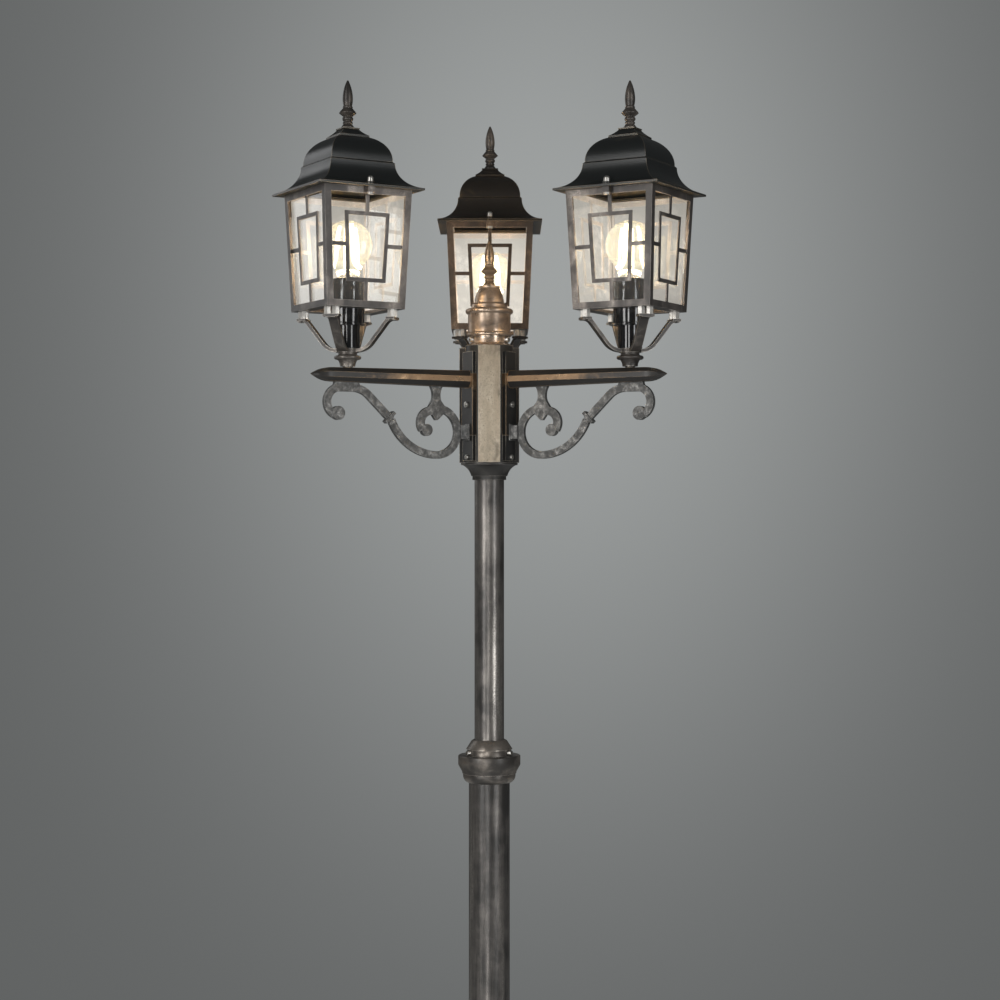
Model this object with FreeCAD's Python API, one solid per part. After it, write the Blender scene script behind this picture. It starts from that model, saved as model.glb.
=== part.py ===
"""Garden lamp post with three square lanterns on scrolled arms.

Millimetres, +Z up. The origin is on the pole axis at the ground, and the front is -Y.
Lantern heights are measured from the eave plane, where the roof meets the glazed body.
"""
import FreeCAD, Part
import math
import os
from collections import namedtuple

V = FreeCAD.Vector

# ---------------------------------------------------------------- layout
ARM_BEARINGS = {"left": 210.0, "right": 330.0, "rear": 90.0}
ARM_COUNT = 3
ARM_START = 90.0               # bearing of the first arm, screw row and hub seat
PILASTER_START = 30.0          # bearing of the first pilaster and anchor hole
LANTERN_TURNS = {"left": 0.0, "right": 0.0, "rear": 90.0}
LANTERN_REACH = 199.4          # pole axis to lantern axis
LOWER_TUBE_SHOWN = 969.5       # foot to collar
UPPER_TUBE_SHOWN = 329.5       # collar to hub funnel
ARM_BELOW_HUB_TOP = 43.0       # arm axis below the top of the hub casting

# ---------------------------------------------------------------- fits
SLIDE_FIT = 0.2                # radial gap of a tube in its socket
SCREW_FIT = 0.15               # radial gap of a screw in its hole
GLASS_FIT = 0.4                # gap around a loose pane
STUD_FIT = 0.3                 # radial gap of a roof stud in the roof and the nut
BULB_FIT = 0.5                 # radial gap of the lamp cap in its holder
REST_GAP = 0.3                 # a turning piece above its seat

# ---------------------------------------------------------------- foot
FOOT_FLANGE_D = 230.0
FOOT_FLANGE_T = 8.0
FOOT_SWEEP_D = 146.0           # where the bell leaves the flange
FOOT_WAIST_D = 92.0
FOOT_WAIST_H = 108.0
FOOT_BELL_OUT = 0.22           # share of the bell's spread at its hollowest place
FOOT_BELL_UP = 0.35            # share of the bell's height there
FOOT_BEAD_D = 102.0
FOOT_BEAD_H = 14.0
FOOT_NECK_D = 68.0
FOOT_LIP_D = 74.0
FOOT_LIP_H = 16.0
FOOT_H = 210.0
FOOT_WALL = 4.0
FOOT_SOCKET_DEPTH = 64.0
FOOT_CABLE_BORE_D = 40.0
ANCHOR_CIRCLE_D = 190.0
ANCHOR_HOLE_D = 11.0
ANCHOR_COUNT = 3

# ---------------------------------------------------------------- tubes and collar
LOWER_TUBE_D = 52.0
UPPER_TUBE_D = 37.5
TUBE_WALL = 2.0
COLLAR_SKIRT_D = 56.0
COLLAR_SKIRT_H = 13.5
COLLAR_SKIRT_SWELL = 1.5       # how far the skirt bulges past a straight flare
COLLAR_SKIRT_SWELL_AT = 0.4    # share of the skirt's height where it bulges most
COLLAR_LEDGE_D = 69.0
COLLAR_LEDGE_H = 2.0
COLLAR_LEDGE_STEP = 1.5
COLLAR_FLANGE_D = 79.0
COLLAR_TAPER_H = 9.0
COLLAR_FLANGE_H = 12.0
COLLAR_FLANGE_CHAMFER = 1.0
COLLAR_GROOVE_D = 56.0
COLLAR_GROOVE_H = 7.5
COLLAR_SHOULDER_D = 59.0
COLLAR_TOP_D = 41.5
COLLAR_CONE_H = 12.0
COLLAR_CONE_CHAMFER = 1.5
COLLAR_CONE_LIP = 2.0          # cone edge outside the top diameter
COLLAR_SPIGOT_H = 42.0
COLLAR_CABLE_BORE_D = 28.0
COLLAR_SOCKET_DEPTH = 46.0

# ---------------------------------------------------------------- hub
HUB_H = 148.0
HUB_CORE_D = 60.0
HUB_CAVITY_D = 44.0
HUB_SHELF_T = 5.0              # roof of the cavity, under the spigot
HUB_SPIGOT_D = 41.0            # the cap slips over it
HUB_SPIGOT_H = 15.0
HUB_MOUTH_D = 34.0             # opening up through the spigot
HUB_CAVITY_FLAT = 17.0         # front flat of the cavity, from the axis
HUB_TUBE_DEPTH = 25.0
PILASTER_W = 27.6
PILASTER_FACE = 36.0           # pole axis to the front of a pilaster
PILASTER_TOP_DROP = 1.5
SEAT_W = 26.0
SEAT_FACE = 31.6               # pole axis to the face that carries an arm
SEAT_TOP_DROP = 8.0
SEAT_BOTTOM_LIFT = 2.0
FUNNEL_TOP_D = 72.0
FUNNEL_BOTTOM_D = 46.0
FUNNEL_H = 17.0
FUNNEL_RIM_H = 3.0
FUNNEL_RIM_STEP = 2.0
FUNNEL_HOLLOW = 3.0            # half-way radius past the neck of the flare
FUNNEL_NECK_D = 43.0
FUNNEL_NECK_H = 5.0
HUB_SCREW_MARGIN = 1.0         # seat edge to the rim of a screw head
TERMINAL_W = 24.0
TERMINAL_DEPTH = 15.0
TERMINAL_H = 30.0
TERMINAL_RISE = 42.0           # cavity floor to the underside of the terminal strip
TERMINAL_WAYS = 3
TERMINAL_WAY_D = 4.2

# ---------------------------------------------------------------- hub cap
CAP_BASE_D = 62.0
CAP_NECK_D = 48.0
CAP_FLARE_H = 3.5
CAP_NECK_H = 10.0
CAP_RIM_D = 57.8
CAP_RIM_H = 3.6
CAP_DRUM_D = 54.0
CAP_DRUM_H = 23.4
CAP_BROAD_RING_D = 60.6
CAP_BROAD_RING_H = 6.0
CAP_STEP_D = 45.8
CAP_STEP_H = 8.0
CAP_STEP_CHAMFER = 1.5
CAP_STEP_EDGE_H = 2.0
CAP_BELL_D = 37.7
CAP_BELL_TOP_D = 26.0
CAP_BELL_H = 19.5
CAP_BELL_SWELL = 1.2
CAP_LIP_D = 27.4
CAP_LIP_H = 2.2
CAP_WALL = 3.0
CAP_SCREW_RISE = 4.0           # flare to the middle of the clamping screws

# ---------------------------------------------------------------- finials
FINIAL_BASE_D = 16.0
FINIAL_RING_D = 12.4
FINIAL_BEAD_D = 13.6
FINIAL_NECK_D = 10.4
FINIAL_HAT_D = 21.0
FINIAL_FLAME_D = 12.6
FINIAL_TIP_D = 1.6
FINIAL_BASE_H = 5.5
FINIAL_RING_H = 2.8
FINIAL_GROOVE_H = 0.8
FINIAL_BEAD_H = 5.2
FINIAL_HAT_UNDER_H = 4.2
FINIAL_HAT_BRIM_H = 0.8
FINIAL_HAT_H = 8.2
FINIAL_FLAME_H = 31.5
FINIAL_FLAME_SWELL = 9.0       # foot of the flame to its widest place
FINIAL_BASE_EDGE_H = 1.6
FINIAL_HAT_TOP_D = 11.4
FINIAL_HAT_RING_DROP = 2.5     # foot of the flame to the neck above the hat
FINIAL_HAT_RING_H = 1.3
FINIAL_HAT_RING_D = 12.6
FINIAL_FLAME_FOOT_D = 10.4
FINIAL_FLAME_LOW_D = 12.0      # half-way up to the widest place
FINIAL_FLAME_WAIST_D = 9.2
FINIAL_FLAME_WAIST_AT = 0.55   # share of the flame above its widest place
FINIAL_SPIGOT_D = 5.0
FINIAL_SPIGOT_H = 5.0

# ---------------------------------------------------------------- arms
ARM_PLATE_W = 28.2
ARM_PLATE_T = 6.0
ARM_PLATE_PROUD = 1.0          # stands out from the hub seat
ARM_PLATE_TOP = 7.0            # plate top above the arm axis
ARM_PLATE_H = 78.0
ARM_ROOT_H = 21.7
ARM_ROOT_W = 24.0
ARM_END_H = 17.0
ARM_END_W = 20.0
ARM_FLAT_W = 11.0              # flats on the top and the underside
ARM_RIDGE_H = 6.6              # upright facet along each side
ARM_NOSE_L = 27.0
ARM_BEYOND_LANTERN = 22.6      # lantern axis to the start of the nose
ARM_NOSE_STATIONS = 5
ARM_NOSE_POINT = 0.06          # last section as a share of the full one
WIREWAY_D = 9.0
ARM_SCREW_DROP = 32.0          # arm axis down to the fixing screw

# ---------------------------------------------------------------- scrolls
SCROLL_BAR_W = 9.5
SCROLL_T = 6.0
SCROLL_LOOP_R = 29.3
SCROLL_LOOP_START = 80.0       # where the loop leaves the knuckle
SCROLL_LOOP_DROP = 67.0        # arm axis down to the middle of the big loop
SCROLL_SWEEP_R = 69.3
SCROLL_SWEEP_TURN = 67.4
SCROLL_RISE_ANGLE = 43.5
SCROLL_CREST_R = 30.0
SCROLL_CREST_DROP = 15.7       # arm axis down to the middle of the level crest
SCROLL_CURL_R = 17.5
SCROLL_CURL_AT = 210.0         # pole axis to the middle of the end curl
SCROLL_CURL_BALL_R = 8.5
SCROLL_CURL_END = -62.0
SCROLL_CURL_BALL_ON = -78.0    # bearing of the ball round the curl
SCROLL_HOOK_R = 15.0
SCROLL_HOOK_W = 10.5
SCROLL_HOOK_BALL_R = 7.5
SCROLL_HOOK_END = -35.0
SCROLL_HOOK_START = 100.0
SCROLL_HOOK_BALL_ON = -53.0
SCROLL_BALL_INSET = 3.5        # bar middle to ball middle, toward the centre
SCROLL_BALL_T = 8.0
SCROLL_HOOK_OUT = 8.0          # middle of the small hook from the middle of the loop
SCROLL_HOOK_UP = 11.0
SCROLL_STEM_TOP_W = 16.5
SCROLL_STEM_WAIST_W = 10.5
SCROLL_STEM_FOOT_W = 12.5
SCROLL_STEM_OUT = 1.0          # middle of the stem past the middle of the loop
SCROLL_SPUR_TIP_W = 3.0
SCROLL_WEB_W = 9.0             # loop middle back to the corner of the web
SCROLL_WEB_DROP = 7.0
SCROLL_WEB_BACK = 11.0
SCROLL_WEB_LIFT = 2.0
SCROLL_WEB_INSET = 1.0         # web corner inside the rim of the hook
SCROLL_WEB_OUTER = 75.0        # bearings of the web's corners round the hook
SCROLL_WEB_INNER = 95.0
SCROLL_SPUR_L = 15.0
SCROLL_BEAD_L = 17.5
SCROLL_BEAD_W = 4.5
SCROLL_BEAD_T = 9.0
SCROLL_BEAD_PAST = 3.9         # bead middle from the end of the sweep
SCROLL_BEAD_TILT = 6.5         # its direction from there, above the rise
SCROLL_TOE_FRONT = 0.6         # taper of the seat under the arm, in bar widths
SCROLL_TOE_BACK = 0.4
CLIP_REACH = 9.4               # arm plate to the edge of the loop
CLIP_W = 12.0
CLIP_H = 17.0
CLIP_BASE_T = 2.0
CLIP_BASE_MARGIN = 2.0
CLIP_BITE = 2.0                # how deep the loop sits in the block

# ---------------------------------------------------------------- lantern body
BODY_H = 143.6
BODY_TOP_W = 116.8
BODY_BOTTOM_W = 103.8
BODY_WALL = 2.2
CORNER_LEG_W = 8.5
TOP_RAIL_H = 7.5
BOTTOM_RAIL_H = 8.0
FLOOR_T = 2.4
FLOOR_OPENING_W = 72.0
PANE_STOP_H = 3.0
PANE_STOP_T = 1.6
GLASS_T = 3.0
GLASS_TOP_DROP = 1.0
LATTICE_T = 1.6
LATTICE_BAR_W = 4.8
LATTICE_MARGIN = 27.1          # corner edge to the hollow rectangle
LATTICE_TOP_DROP = 29.0
LATTICE_H = 84.0
LATTICE_STUB_DROP = 69.0
LATTICE_TUCK = 4.0             # how far the stubs reach behind the rails
STUD_OUT = 4.1                 # top edge of the cage to the axis of a roof stud
STUD_D = 4.0
LUG_W = 9.0
LUG_H = 7.0
LUG_OUT = 8.0

# ---------------------------------------------------------------- roof
EAVE_OUT = 11.6                # how far the eave reaches past the cage
EAVE_T = 2.5
SKIRT_TOP_W = 86.0
SKIRT_H = 34.0
DOME_BASE_W = 82.0
DOME_TOP_W = 41.0
DOME_STEP_H = 3.0
DOME_EDGE_H = 1.0
DOME_H = 30.0
CROWN_BASE_W = 39.5
CROWN_TOP_W = 20.0
CROWN_STEP_H = 2.5
CROWN_SLOPE_H = 0.5
CROWN_HOLLOW = 1.0             # how far the sides of the crown curve inward
CROWN_WALL_DROP = 1.5
CROWN_H = 8.5
CROWN_PLATE_W = 22.0
CROWN_PLATE_H = 1.5
ROOF_WALL = 2.0
ROOF_SEAT_LAP = 2.0            # how far the eave plate covers the panes
STUD_BOSS_D = 10.0
STUD_BOSS_H = 6.0
NUT_D = 8.0
NUT_SKIRT_H = 4.0
NUT_DOME_H = 3.2
NUT_BORE_H = 5.0
STUD_IN_NUT = 4.0

# ---------------------------------------------------------------- cradle, holder, bulb
CRADLE_H = 69.4                # arm to the floor of the lantern
BOSS_STUB_D = 12.0
BOSS_STUB_H = 1.6
BOSS_FOOT_D = 19.0
BOSS_CUP_D = 25.6
BOSS_CUP_H = 8.6
BOSS_RING_D = 33.0
BOSS_RING_H = 4.0
BOSS_NECK_D = 23.0
BOSS_NECK_H = 4.2
BOSS_CUP_HOLLOW = 1.0
BOSS_RING_STEP = 1.5
BOSS_TOP_D = 28.0
BOSS_TOP_H = 4.6
LEG_W = 12.0
LEG_T = 4.0
LEG_LEVEL_L = 12.0
LEG_BOWL_R = 24.0
LEG_RISE_ANGLE = 52.0
LEG_FLARE_R = 10.0
PAD_W = 20.0
PAD_L = 11.0
PAD_T = 3.0
PAD_INSET = 11.4               # body side to the middle of the pad
STANDOFF_SPREAD = 5.2          # either side of the leg
STANDOFF_FLATS = 8.5
STANDOFF_H = 9.0
STANDOFF_SCREW_D = 4.0
NIPPLE_D = 10.0
NIPPLE_BORE_D = 7.0
NIPPLE_IN_HOLDER = 5.0
HOLDER_D = 41.5
HOLDER_H = 57.0
HOLDER_STEM_D = 29.5
HOLDER_STEM_H = 28.0
HOLDER_CHAMBER_D = 20.0
HOLDER_FLOOR_T = 4.0
HOLDER_GROOVE_W = 1.6
HOLDER_GROOVE_DEPTH = 1.2
HOLDER_GROOVE_RISE = 2.0
HOLDER_CHAMFER = 1.0
BULB_D = 60.0
BULB_CAP_D = 26.6
BULB_CAP_H = 25.0
BULB_TIP_D = 10.0
BULB_TIP_H = 2.0
BULB_CAP_CHAMFER = 2.0
BULB_TIP_SPREAD = 2.0
BULB_CAP_SUNK = 2.0            # lamp cap edge below the rim of the holder
BULB_GLASS_H = 74.0            # lamp cap edge to the top of the glass
BULB_GLASS_T = 1.0
BULB_NECK_H = 4.0
BULB_TANGENT = -40.0           # where the neck leaves the round part
BULB_SHOULDER = 25.0           # a bearing on the round part, above its middle
BULB_NECK_HOLLOW = 0.3         # share of the flare reached half-way up the neck

# ---------------------------------------------------------------- screws
SET_SCREW_D = 5.0
SET_HEAD_D = 7.0
SET_HEAD_H = 5.0
FIX_SCREW_D = 5.0
FIX_HEAD_D = 8.0
FIX_HEAD_H = 2.4

# ---------------------------------------------------------------- heights worked out
COLLAR_BOTTOM = FOOT_H + LOWER_TUBE_SHOWN
COLLAR_H = (COLLAR_SKIRT_H + COLLAR_TAPER_H + COLLAR_FLANGE_H
            + COLLAR_GROOVE_H + COLLAR_CONE_H)
COLLAR_TOP = COLLAR_BOTTOM + COLLAR_H
FUNNEL_BOTTOM = COLLAR_TOP + UPPER_TUBE_SHOWN
HUB_BOTTOM = FUNNEL_BOTTOM + FUNNEL_NECK_H + FUNNEL_H
HUB_TOP = HUB_BOTTOM + HUB_H
ARM_Z = HUB_TOP - ARM_BELOW_HUB_TOP
ARM_PLATE_FACE = SEAT_FACE + ARM_PLATE_PROUD
ARM_PLATE_BACK = ARM_PLATE_FACE - ARM_PLATE_T
ARM_BEAM_START = SEAT_FACE + SLIDE_FIT
ARM_NOSE_START = LANTERN_REACH + ARM_BEYOND_LANTERN

CLOSED = 1e-6                  # an outline that ends this near its start is closed
FULL_TURN = 360.0

Bend = namedtuple("Bend", "through end")


# ---------------------------------------------------------------- drawing helpers
def face_xz(start, *path):
    """Closed face in the XZ plane; a pair is a straight run, a Bend is an arc."""
    here = V(start[0], 0, start[1])
    first = here
    edges = []
    for step in path:
        if isinstance(step, Bend):
            there = V(step.end[0], 0, step.end[1])
            middle = V(step.through[0], 0, step.through[1])
            edges.append(Part.Arc(here, middle, there).toShape())
        else:
            there = V(step[0], 0, step[1])
            edges.append(Part.makeLine(here, there))
        here = there
    if here.distanceToPoint(first) > CLOSED:
        edges.append(Part.makeLine(here, first))
    return Part.Face(Part.Wire(edges))


def turned(start, *path):
    """Solid turned about the Z axis from an outline in the XZ plane."""
    return face_xz(start, *path).revolve(V(0, 0, 0), V(0, 0, 1), FULL_TURN)


def rod(diameter, low, high):
    return Part.makeCylinder(diameter / 2, high - low, V(0, 0, low))


def tube(outer_d, inner_d, low, high):
    return rod(outer_d, low, high).cut(rod(inner_d, low, high))


def radial_rod(diameter, near, far, z):
    """Rod along +X between two distances from the pole axis."""
    return Part.makeCylinder(diameter / 2, far - near, V(near, 0, z), V(1, 0, 0))


def block(x0, x1, width, z0, z1):
    """Box between two distances along X, centred on Y."""
    return Part.makeBox(x1 - x0, width, z1 - z0, V(x0, -width / 2, z0))


def turned_to(shape, bearing):
    """Copy of a shape turned about the pole axis."""
    copy = shape.copy()
    copy.rotate(V(0, 0, 0), V(0, 0, 1), bearing)
    return copy


def around(shape, count, start=0.0):
    return [turned_to(shape, start + FULL_TURN * k / count) for k in range(count)]


def joined(shapes):
    """One clean solid out of several that touch or overlap."""
    return shapes[0].multiFuse(shapes[1:]).removeSplitter()


def polar(centre, radius, degrees):
    a = math.radians(degrees)
    return (centre[0] + radius * math.cos(a), centre[1] + radius * math.sin(a))


def radial_screw(seat, z, head_d, head_h, shank_d, depth):
    """Screw whose head stands on a face looking along +X."""
    head = radial_rod(head_d, seat, seat + head_h, z)
    return head.fuse(radial_rod(shank_d, seat - depth, seat, z)).removeSplitter()


# ---------------------------------------------------------------- pole
def foot_outline(inset):
    """Bell of the cast foot, pulled inward and downward by the wall."""
    sweep = (FOOT_SWEEP_D / 2 - inset, FOOT_FLANGE_T - inset)
    waist = (FOOT_WAIST_D / 2 - inset, FOOT_WAIST_H - inset)
    hollow = (waist[0] + FOOT_BELL_OUT * (sweep[0] - waist[0]),
              sweep[1] + FOOT_BELL_UP * (waist[1] - sweep[1]))
    return sweep, Bend(hollow, waist)


def base_foot():
    sweep, bell = foot_outline(0)
    neck_z = FOOT_WAIST_H + FOOT_BEAD_H
    lip_z = FOOT_H - FOOT_LIP_H
    bead_middle = (FOOT_BEAD_D / 2, FOOT_WAIST_H + FOOT_BEAD_H / 2)
    outside = turned(
        (0, 0), (FOOT_FLANGE_D / 2, 0), (FOOT_FLANGE_D / 2, FOOT_FLANGE_T / 2),
        (FOOT_FLANGE_D / 2 - FOOT_FLANGE_T / 2, FOOT_FLANGE_T), sweep, bell,
        Bend(bead_middle, (FOOT_WAIST_D / 2, neck_z)),
        (FOOT_NECK_D / 2, lip_z), (FOOT_LIP_D / 2, lip_z),
        (FOOT_LIP_D / 2, FOOT_H), (0, FOOT_H))
    inner_sweep, inner_bell = foot_outline(FOOT_WALL)
    ledge = FOOT_H - FOOT_SOCKET_DEPTH
    roof = ledge - FOOT_WALL
    hollow = turned(
        (0, 0), (inner_sweep[0], 0), inner_sweep, inner_bell,
        (FOOT_CABLE_BORE_D / 2, roof), (0, roof))
    foot = outside.cut(hollow)
    foot = foot.cut(rod(LOWER_TUBE_D + 2 * SLIDE_FIT, ledge, FOOT_H))
    foot = foot.cut(rod(FOOT_CABLE_BORE_D, 0, FOOT_H))
    anchor = Part.makeCylinder(ANCHOR_HOLE_D / 2, FOOT_FLANGE_T, V(ANCHOR_CIRCLE_D / 2, 0, 0))
    screw_hole = radial_rod(SET_SCREW_D + 2 * SCREW_FIT, 0, FOOT_LIP_D, FOOT_H - FOOT_LIP_H / 2)
    for cutter in around(anchor, ANCHOR_COUNT, PILASTER_START) + around(screw_hole, ARM_COUNT, ARM_START):
        foot = foot.cut(cutter)
    return foot


def set_screws(seat_d, z, pipe_d):
    """Three clamping screws round a socket, each up to the pipe inside it."""
    depth = (seat_d - pipe_d) / 2
    screw = radial_screw(seat_d / 2, z, SET_HEAD_D, SET_HEAD_H, SET_SCREW_D, depth)
    return around(screw, ARM_COUNT, ARM_START)


def lower_tube():
    inner = LOWER_TUBE_D - 2 * TUBE_WALL
    return tube(LOWER_TUBE_D, inner, FOOT_H - FOOT_SOCKET_DEPTH, COLLAR_BOTTOM)


def collar_screw_z():
    return COLLAR_TOP - COLLAR_CONE_H - COLLAR_GROOVE_H / 2


def middle_collar():
    spigot_d = LOWER_TUBE_D - 2 * TUBE_WALL - 2 * SLIDE_FIT
    ledge_z = COLLAR_BOTTOM + COLLAR_SKIRT_H
    flange_z = ledge_z + COLLAR_TAPER_H
    groove_z = flange_z + COLLAR_FLANGE_H
    cone_z = groove_z + COLLAR_GROOVE_H
    belly = ((COLLAR_SKIRT_D + COLLAR_LEDGE_D) / 4 + COLLAR_SKIRT_SWELL,
             COLLAR_BOTTOM + COLLAR_SKIRT_H * COLLAR_SKIRT_SWELL_AT)
    edge_z = ledge_z - COLLAR_LEDGE_H
    chamfer = COLLAR_FLANGE_CHAMFER
    outside = turned(
        (0, COLLAR_BOTTOM - COLLAR_SPIGOT_H), (spigot_d / 2, COLLAR_BOTTOM - COLLAR_SPIGOT_H),
        (spigot_d / 2, COLLAR_BOTTOM), (COLLAR_SKIRT_D / 2, COLLAR_BOTTOM),
        Bend(belly, (COLLAR_LEDGE_D / 2 - COLLAR_LEDGE_STEP, edge_z)),
        (COLLAR_LEDGE_D / 2, edge_z), (COLLAR_LEDGE_D / 2, ledge_z),
        (COLLAR_FLANGE_D / 2, flange_z), (COLLAR_FLANGE_D / 2, groove_z - chamfer),
        (COLLAR_FLANGE_D / 2 - chamfer, groove_z), (COLLAR_GROOVE_D / 2, groove_z),
        (COLLAR_GROOVE_D / 2, cone_z), (COLLAR_SHOULDER_D / 2, cone_z),
        (COLLAR_TOP_D / 2 + COLLAR_CONE_LIP, COLLAR_TOP - COLLAR_CONE_CHAMFER),
        (COLLAR_TOP_D / 2, COLLAR_TOP), (0, COLLAR_TOP))
    socket = rod(UPPER_TUBE_D + 2 * SLIDE_FIT, COLLAR_TOP - COLLAR_SOCKET_DEPTH, COLLAR_TOP)
    passage = rod(COLLAR_CABLE_BORE_D, COLLAR_BOTTOM - COLLAR_SPIGOT_H, COLLAR_TOP)
    collar = outside.cut(socket).cut(passage)
    hole = radial_rod(SET_SCREW_D + 2 * SCREW_FIT, 0, COLLAR_FLANGE_D, collar_screw_z())
    for cutter in around(hole, ARM_COUNT, ARM_START):
        collar = collar.cut(cutter)
    return collar


def upper_tube():
    inner = UPPER_TUBE_D - 2 * TUBE_WALL
    return tube(UPPER_TUBE_D, inner, COLLAR_TOP - COLLAR_SOCKET_DEPTH, HUB_BOTTOM + HUB_TUBE_DEPTH)


# ---------------------------------------------------------------- hub
def hub_socket():
    neck_z = FUNNEL_BOTTOM + FUNNEL_NECK_H
    rim_z = HUB_BOTTOM - FUNNEL_RIM_H
    waist = (FUNNEL_BOTTOM_D / 2 + FUNNEL_HOLLOW, (neck_z + rim_z) / 2)
    outside = turned(
        (0, FUNNEL_BOTTOM), (FUNNEL_NECK_D / 2, FUNNEL_BOTTOM), (FUNNEL_NECK_D / 2, neck_z),
        (FUNNEL_BOTTOM_D / 2, neck_z), Bend(waist, (FUNNEL_TOP_D / 2 - FUNNEL_RIM_STEP, rim_z)),
        (FUNNEL_TOP_D / 2, rim_z), (FUNNEL_TOP_D / 2, HUB_BOTTOM), (0, HUB_BOTTOM))
    return outside.cut(rod(UPPER_TUBE_D + 2 * SLIDE_FIT, FUNNEL_BOTTOM, HUB_BOTTOM))


def tube_screw_z():
    return HUB_BOTTOM + SEAT_BOTTOM_LIFT + SET_HEAD_D / 2 + HUB_SCREW_MARGIN


def cap_screw_z():
    return HUB_TOP + CAP_FLARE_H + CAP_SCREW_RISE


def hub_core():
    """Six-sided casting: three pilasters, three pocketed arm seats and a spigot for the cap."""
    pilaster = block(0, PILASTER_FACE, PILASTER_W, HUB_BOTTOM, HUB_TOP - PILASTER_TOP_DROP)
    seat = block(0, SEAT_FACE, SEAT_W, HUB_BOTTOM + SEAT_BOTTOM_LIFT, HUB_TOP - SEAT_TOP_DROP)
    faces = around(pilaster, ARM_COUNT, PILASTER_START) + around(seat, ARM_COUNT, ARM_START)
    spigot = rod(HUB_SPIGOT_D, HUB_BOTTOM, HUB_TOP + HUB_SPIGOT_H)
    hub = joined([rod(HUB_CORE_D, HUB_BOTTOM, HUB_TOP), spigot] + faces)
    floor = HUB_BOTTOM + HUB_TUBE_DEPTH
    hub = hub.cut(rod(UPPER_TUBE_D + 2 * SLIDE_FIT, HUB_BOTTOM, floor))
    hub = hub.cut(hub_cavity(floor))
    for cutter in hub_cutters():
        hub = hub.cut(cutter)
    return hub


def hub_cavity(floor):
    """Round wiring space with a flat at the front for the terminal strip, open at the top."""
    shelf = HUB_TOP - HUB_SHELF_T
    behind_flat = Part.makeBox(HUB_CAVITY_D, HUB_CAVITY_D, shelf - floor,
                               V(-HUB_CAVITY_D / 2, -HUB_CAVITY_FLAT, floor))
    wiring_space = rod(HUB_CAVITY_D, floor, shelf).common(behind_flat)
    return wiring_space.fuse(rod(HUB_MOUTH_D, shelf, HUB_TOP + HUB_SPIGOT_H))


def hub_cutters():
    plate_top = ARM_Z + ARM_PLATE_TOP
    pocket = block(ARM_PLATE_BACK, PILASTER_FACE, ARM_PLATE_W + 2 * SLIDE_FIT,
                   plate_top - ARM_PLATE_H, plate_top)
    wireway = radial_rod(WIREWAY_D, 0, PILASTER_FACE, ARM_Z)
    fixing = radial_rod(FIX_SCREW_D + 2 * SCREW_FIT, 0, PILASTER_FACE, ARM_Z - ARM_SCREW_DROP)
    clamp = radial_rod(SET_SCREW_D + 2 * SCREW_FIT, 0, PILASTER_FACE, tube_screw_z())
    cutters = []
    for cutter in (pocket, wireway, fixing, clamp):
        cutters += around(cutter, ARM_COUNT, ARM_START)
    return cutters


def hub_screws():
    """Lower row clamps the upper tube, upper row clamps the cap on its spigot."""
    clamp_tube = radial_screw(SEAT_FACE, tube_screw_z(), SET_HEAD_D, SET_HEAD_H / 2, SET_SCREW_D,
                              SEAT_FACE - UPPER_TUBE_D / 2)
    clamp_cap = radial_screw(CAP_NECK_D / 2, cap_screw_z(), SET_HEAD_D, SET_HEAD_H, SET_SCREW_D,
                             (CAP_NECK_D - HUB_SPIGOT_D) / 2)
    return around(clamp_tube, ARM_COUNT, ARM_START) + around(clamp_cap, ARM_COUNT, ARM_START)


def terminal_block():
    """Connector strip for three lamp circuits, held on the flat of the cavity."""
    low = HUB_BOTTOM + HUB_TUBE_DEPTH + TERMINAL_RISE
    back = -HUB_CAVITY_FLAT
    strip = Part.makeBox(TERMINAL_W, TERMINAL_DEPTH, TERMINAL_H, V(-TERMINAL_W / 2, back, low))
    pitch = TERMINAL_W / TERMINAL_WAYS
    for way in range(TERMINAL_WAYS):
        x = pitch * (way + 0.5) - TERMINAL_W / 2
        hole = Part.makeCylinder(TERMINAL_WAY_D / 2, TERMINAL_H, V(x, back + TERMINAL_DEPTH / 2, low))
        strip = strip.cut(hole)
    return strip


def cap_levels():
    """Heights of the turned steps of the cap, from the hub up."""
    z = HUB_TOP
    levels = []
    for height in (CAP_FLARE_H, CAP_NECK_H, CAP_RIM_H, CAP_DRUM_H, CAP_BROAD_RING_H,
                   CAP_STEP_H, CAP_BELL_H, CAP_LIP_H):
        z += height
        levels.append(z)
    return levels


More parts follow.
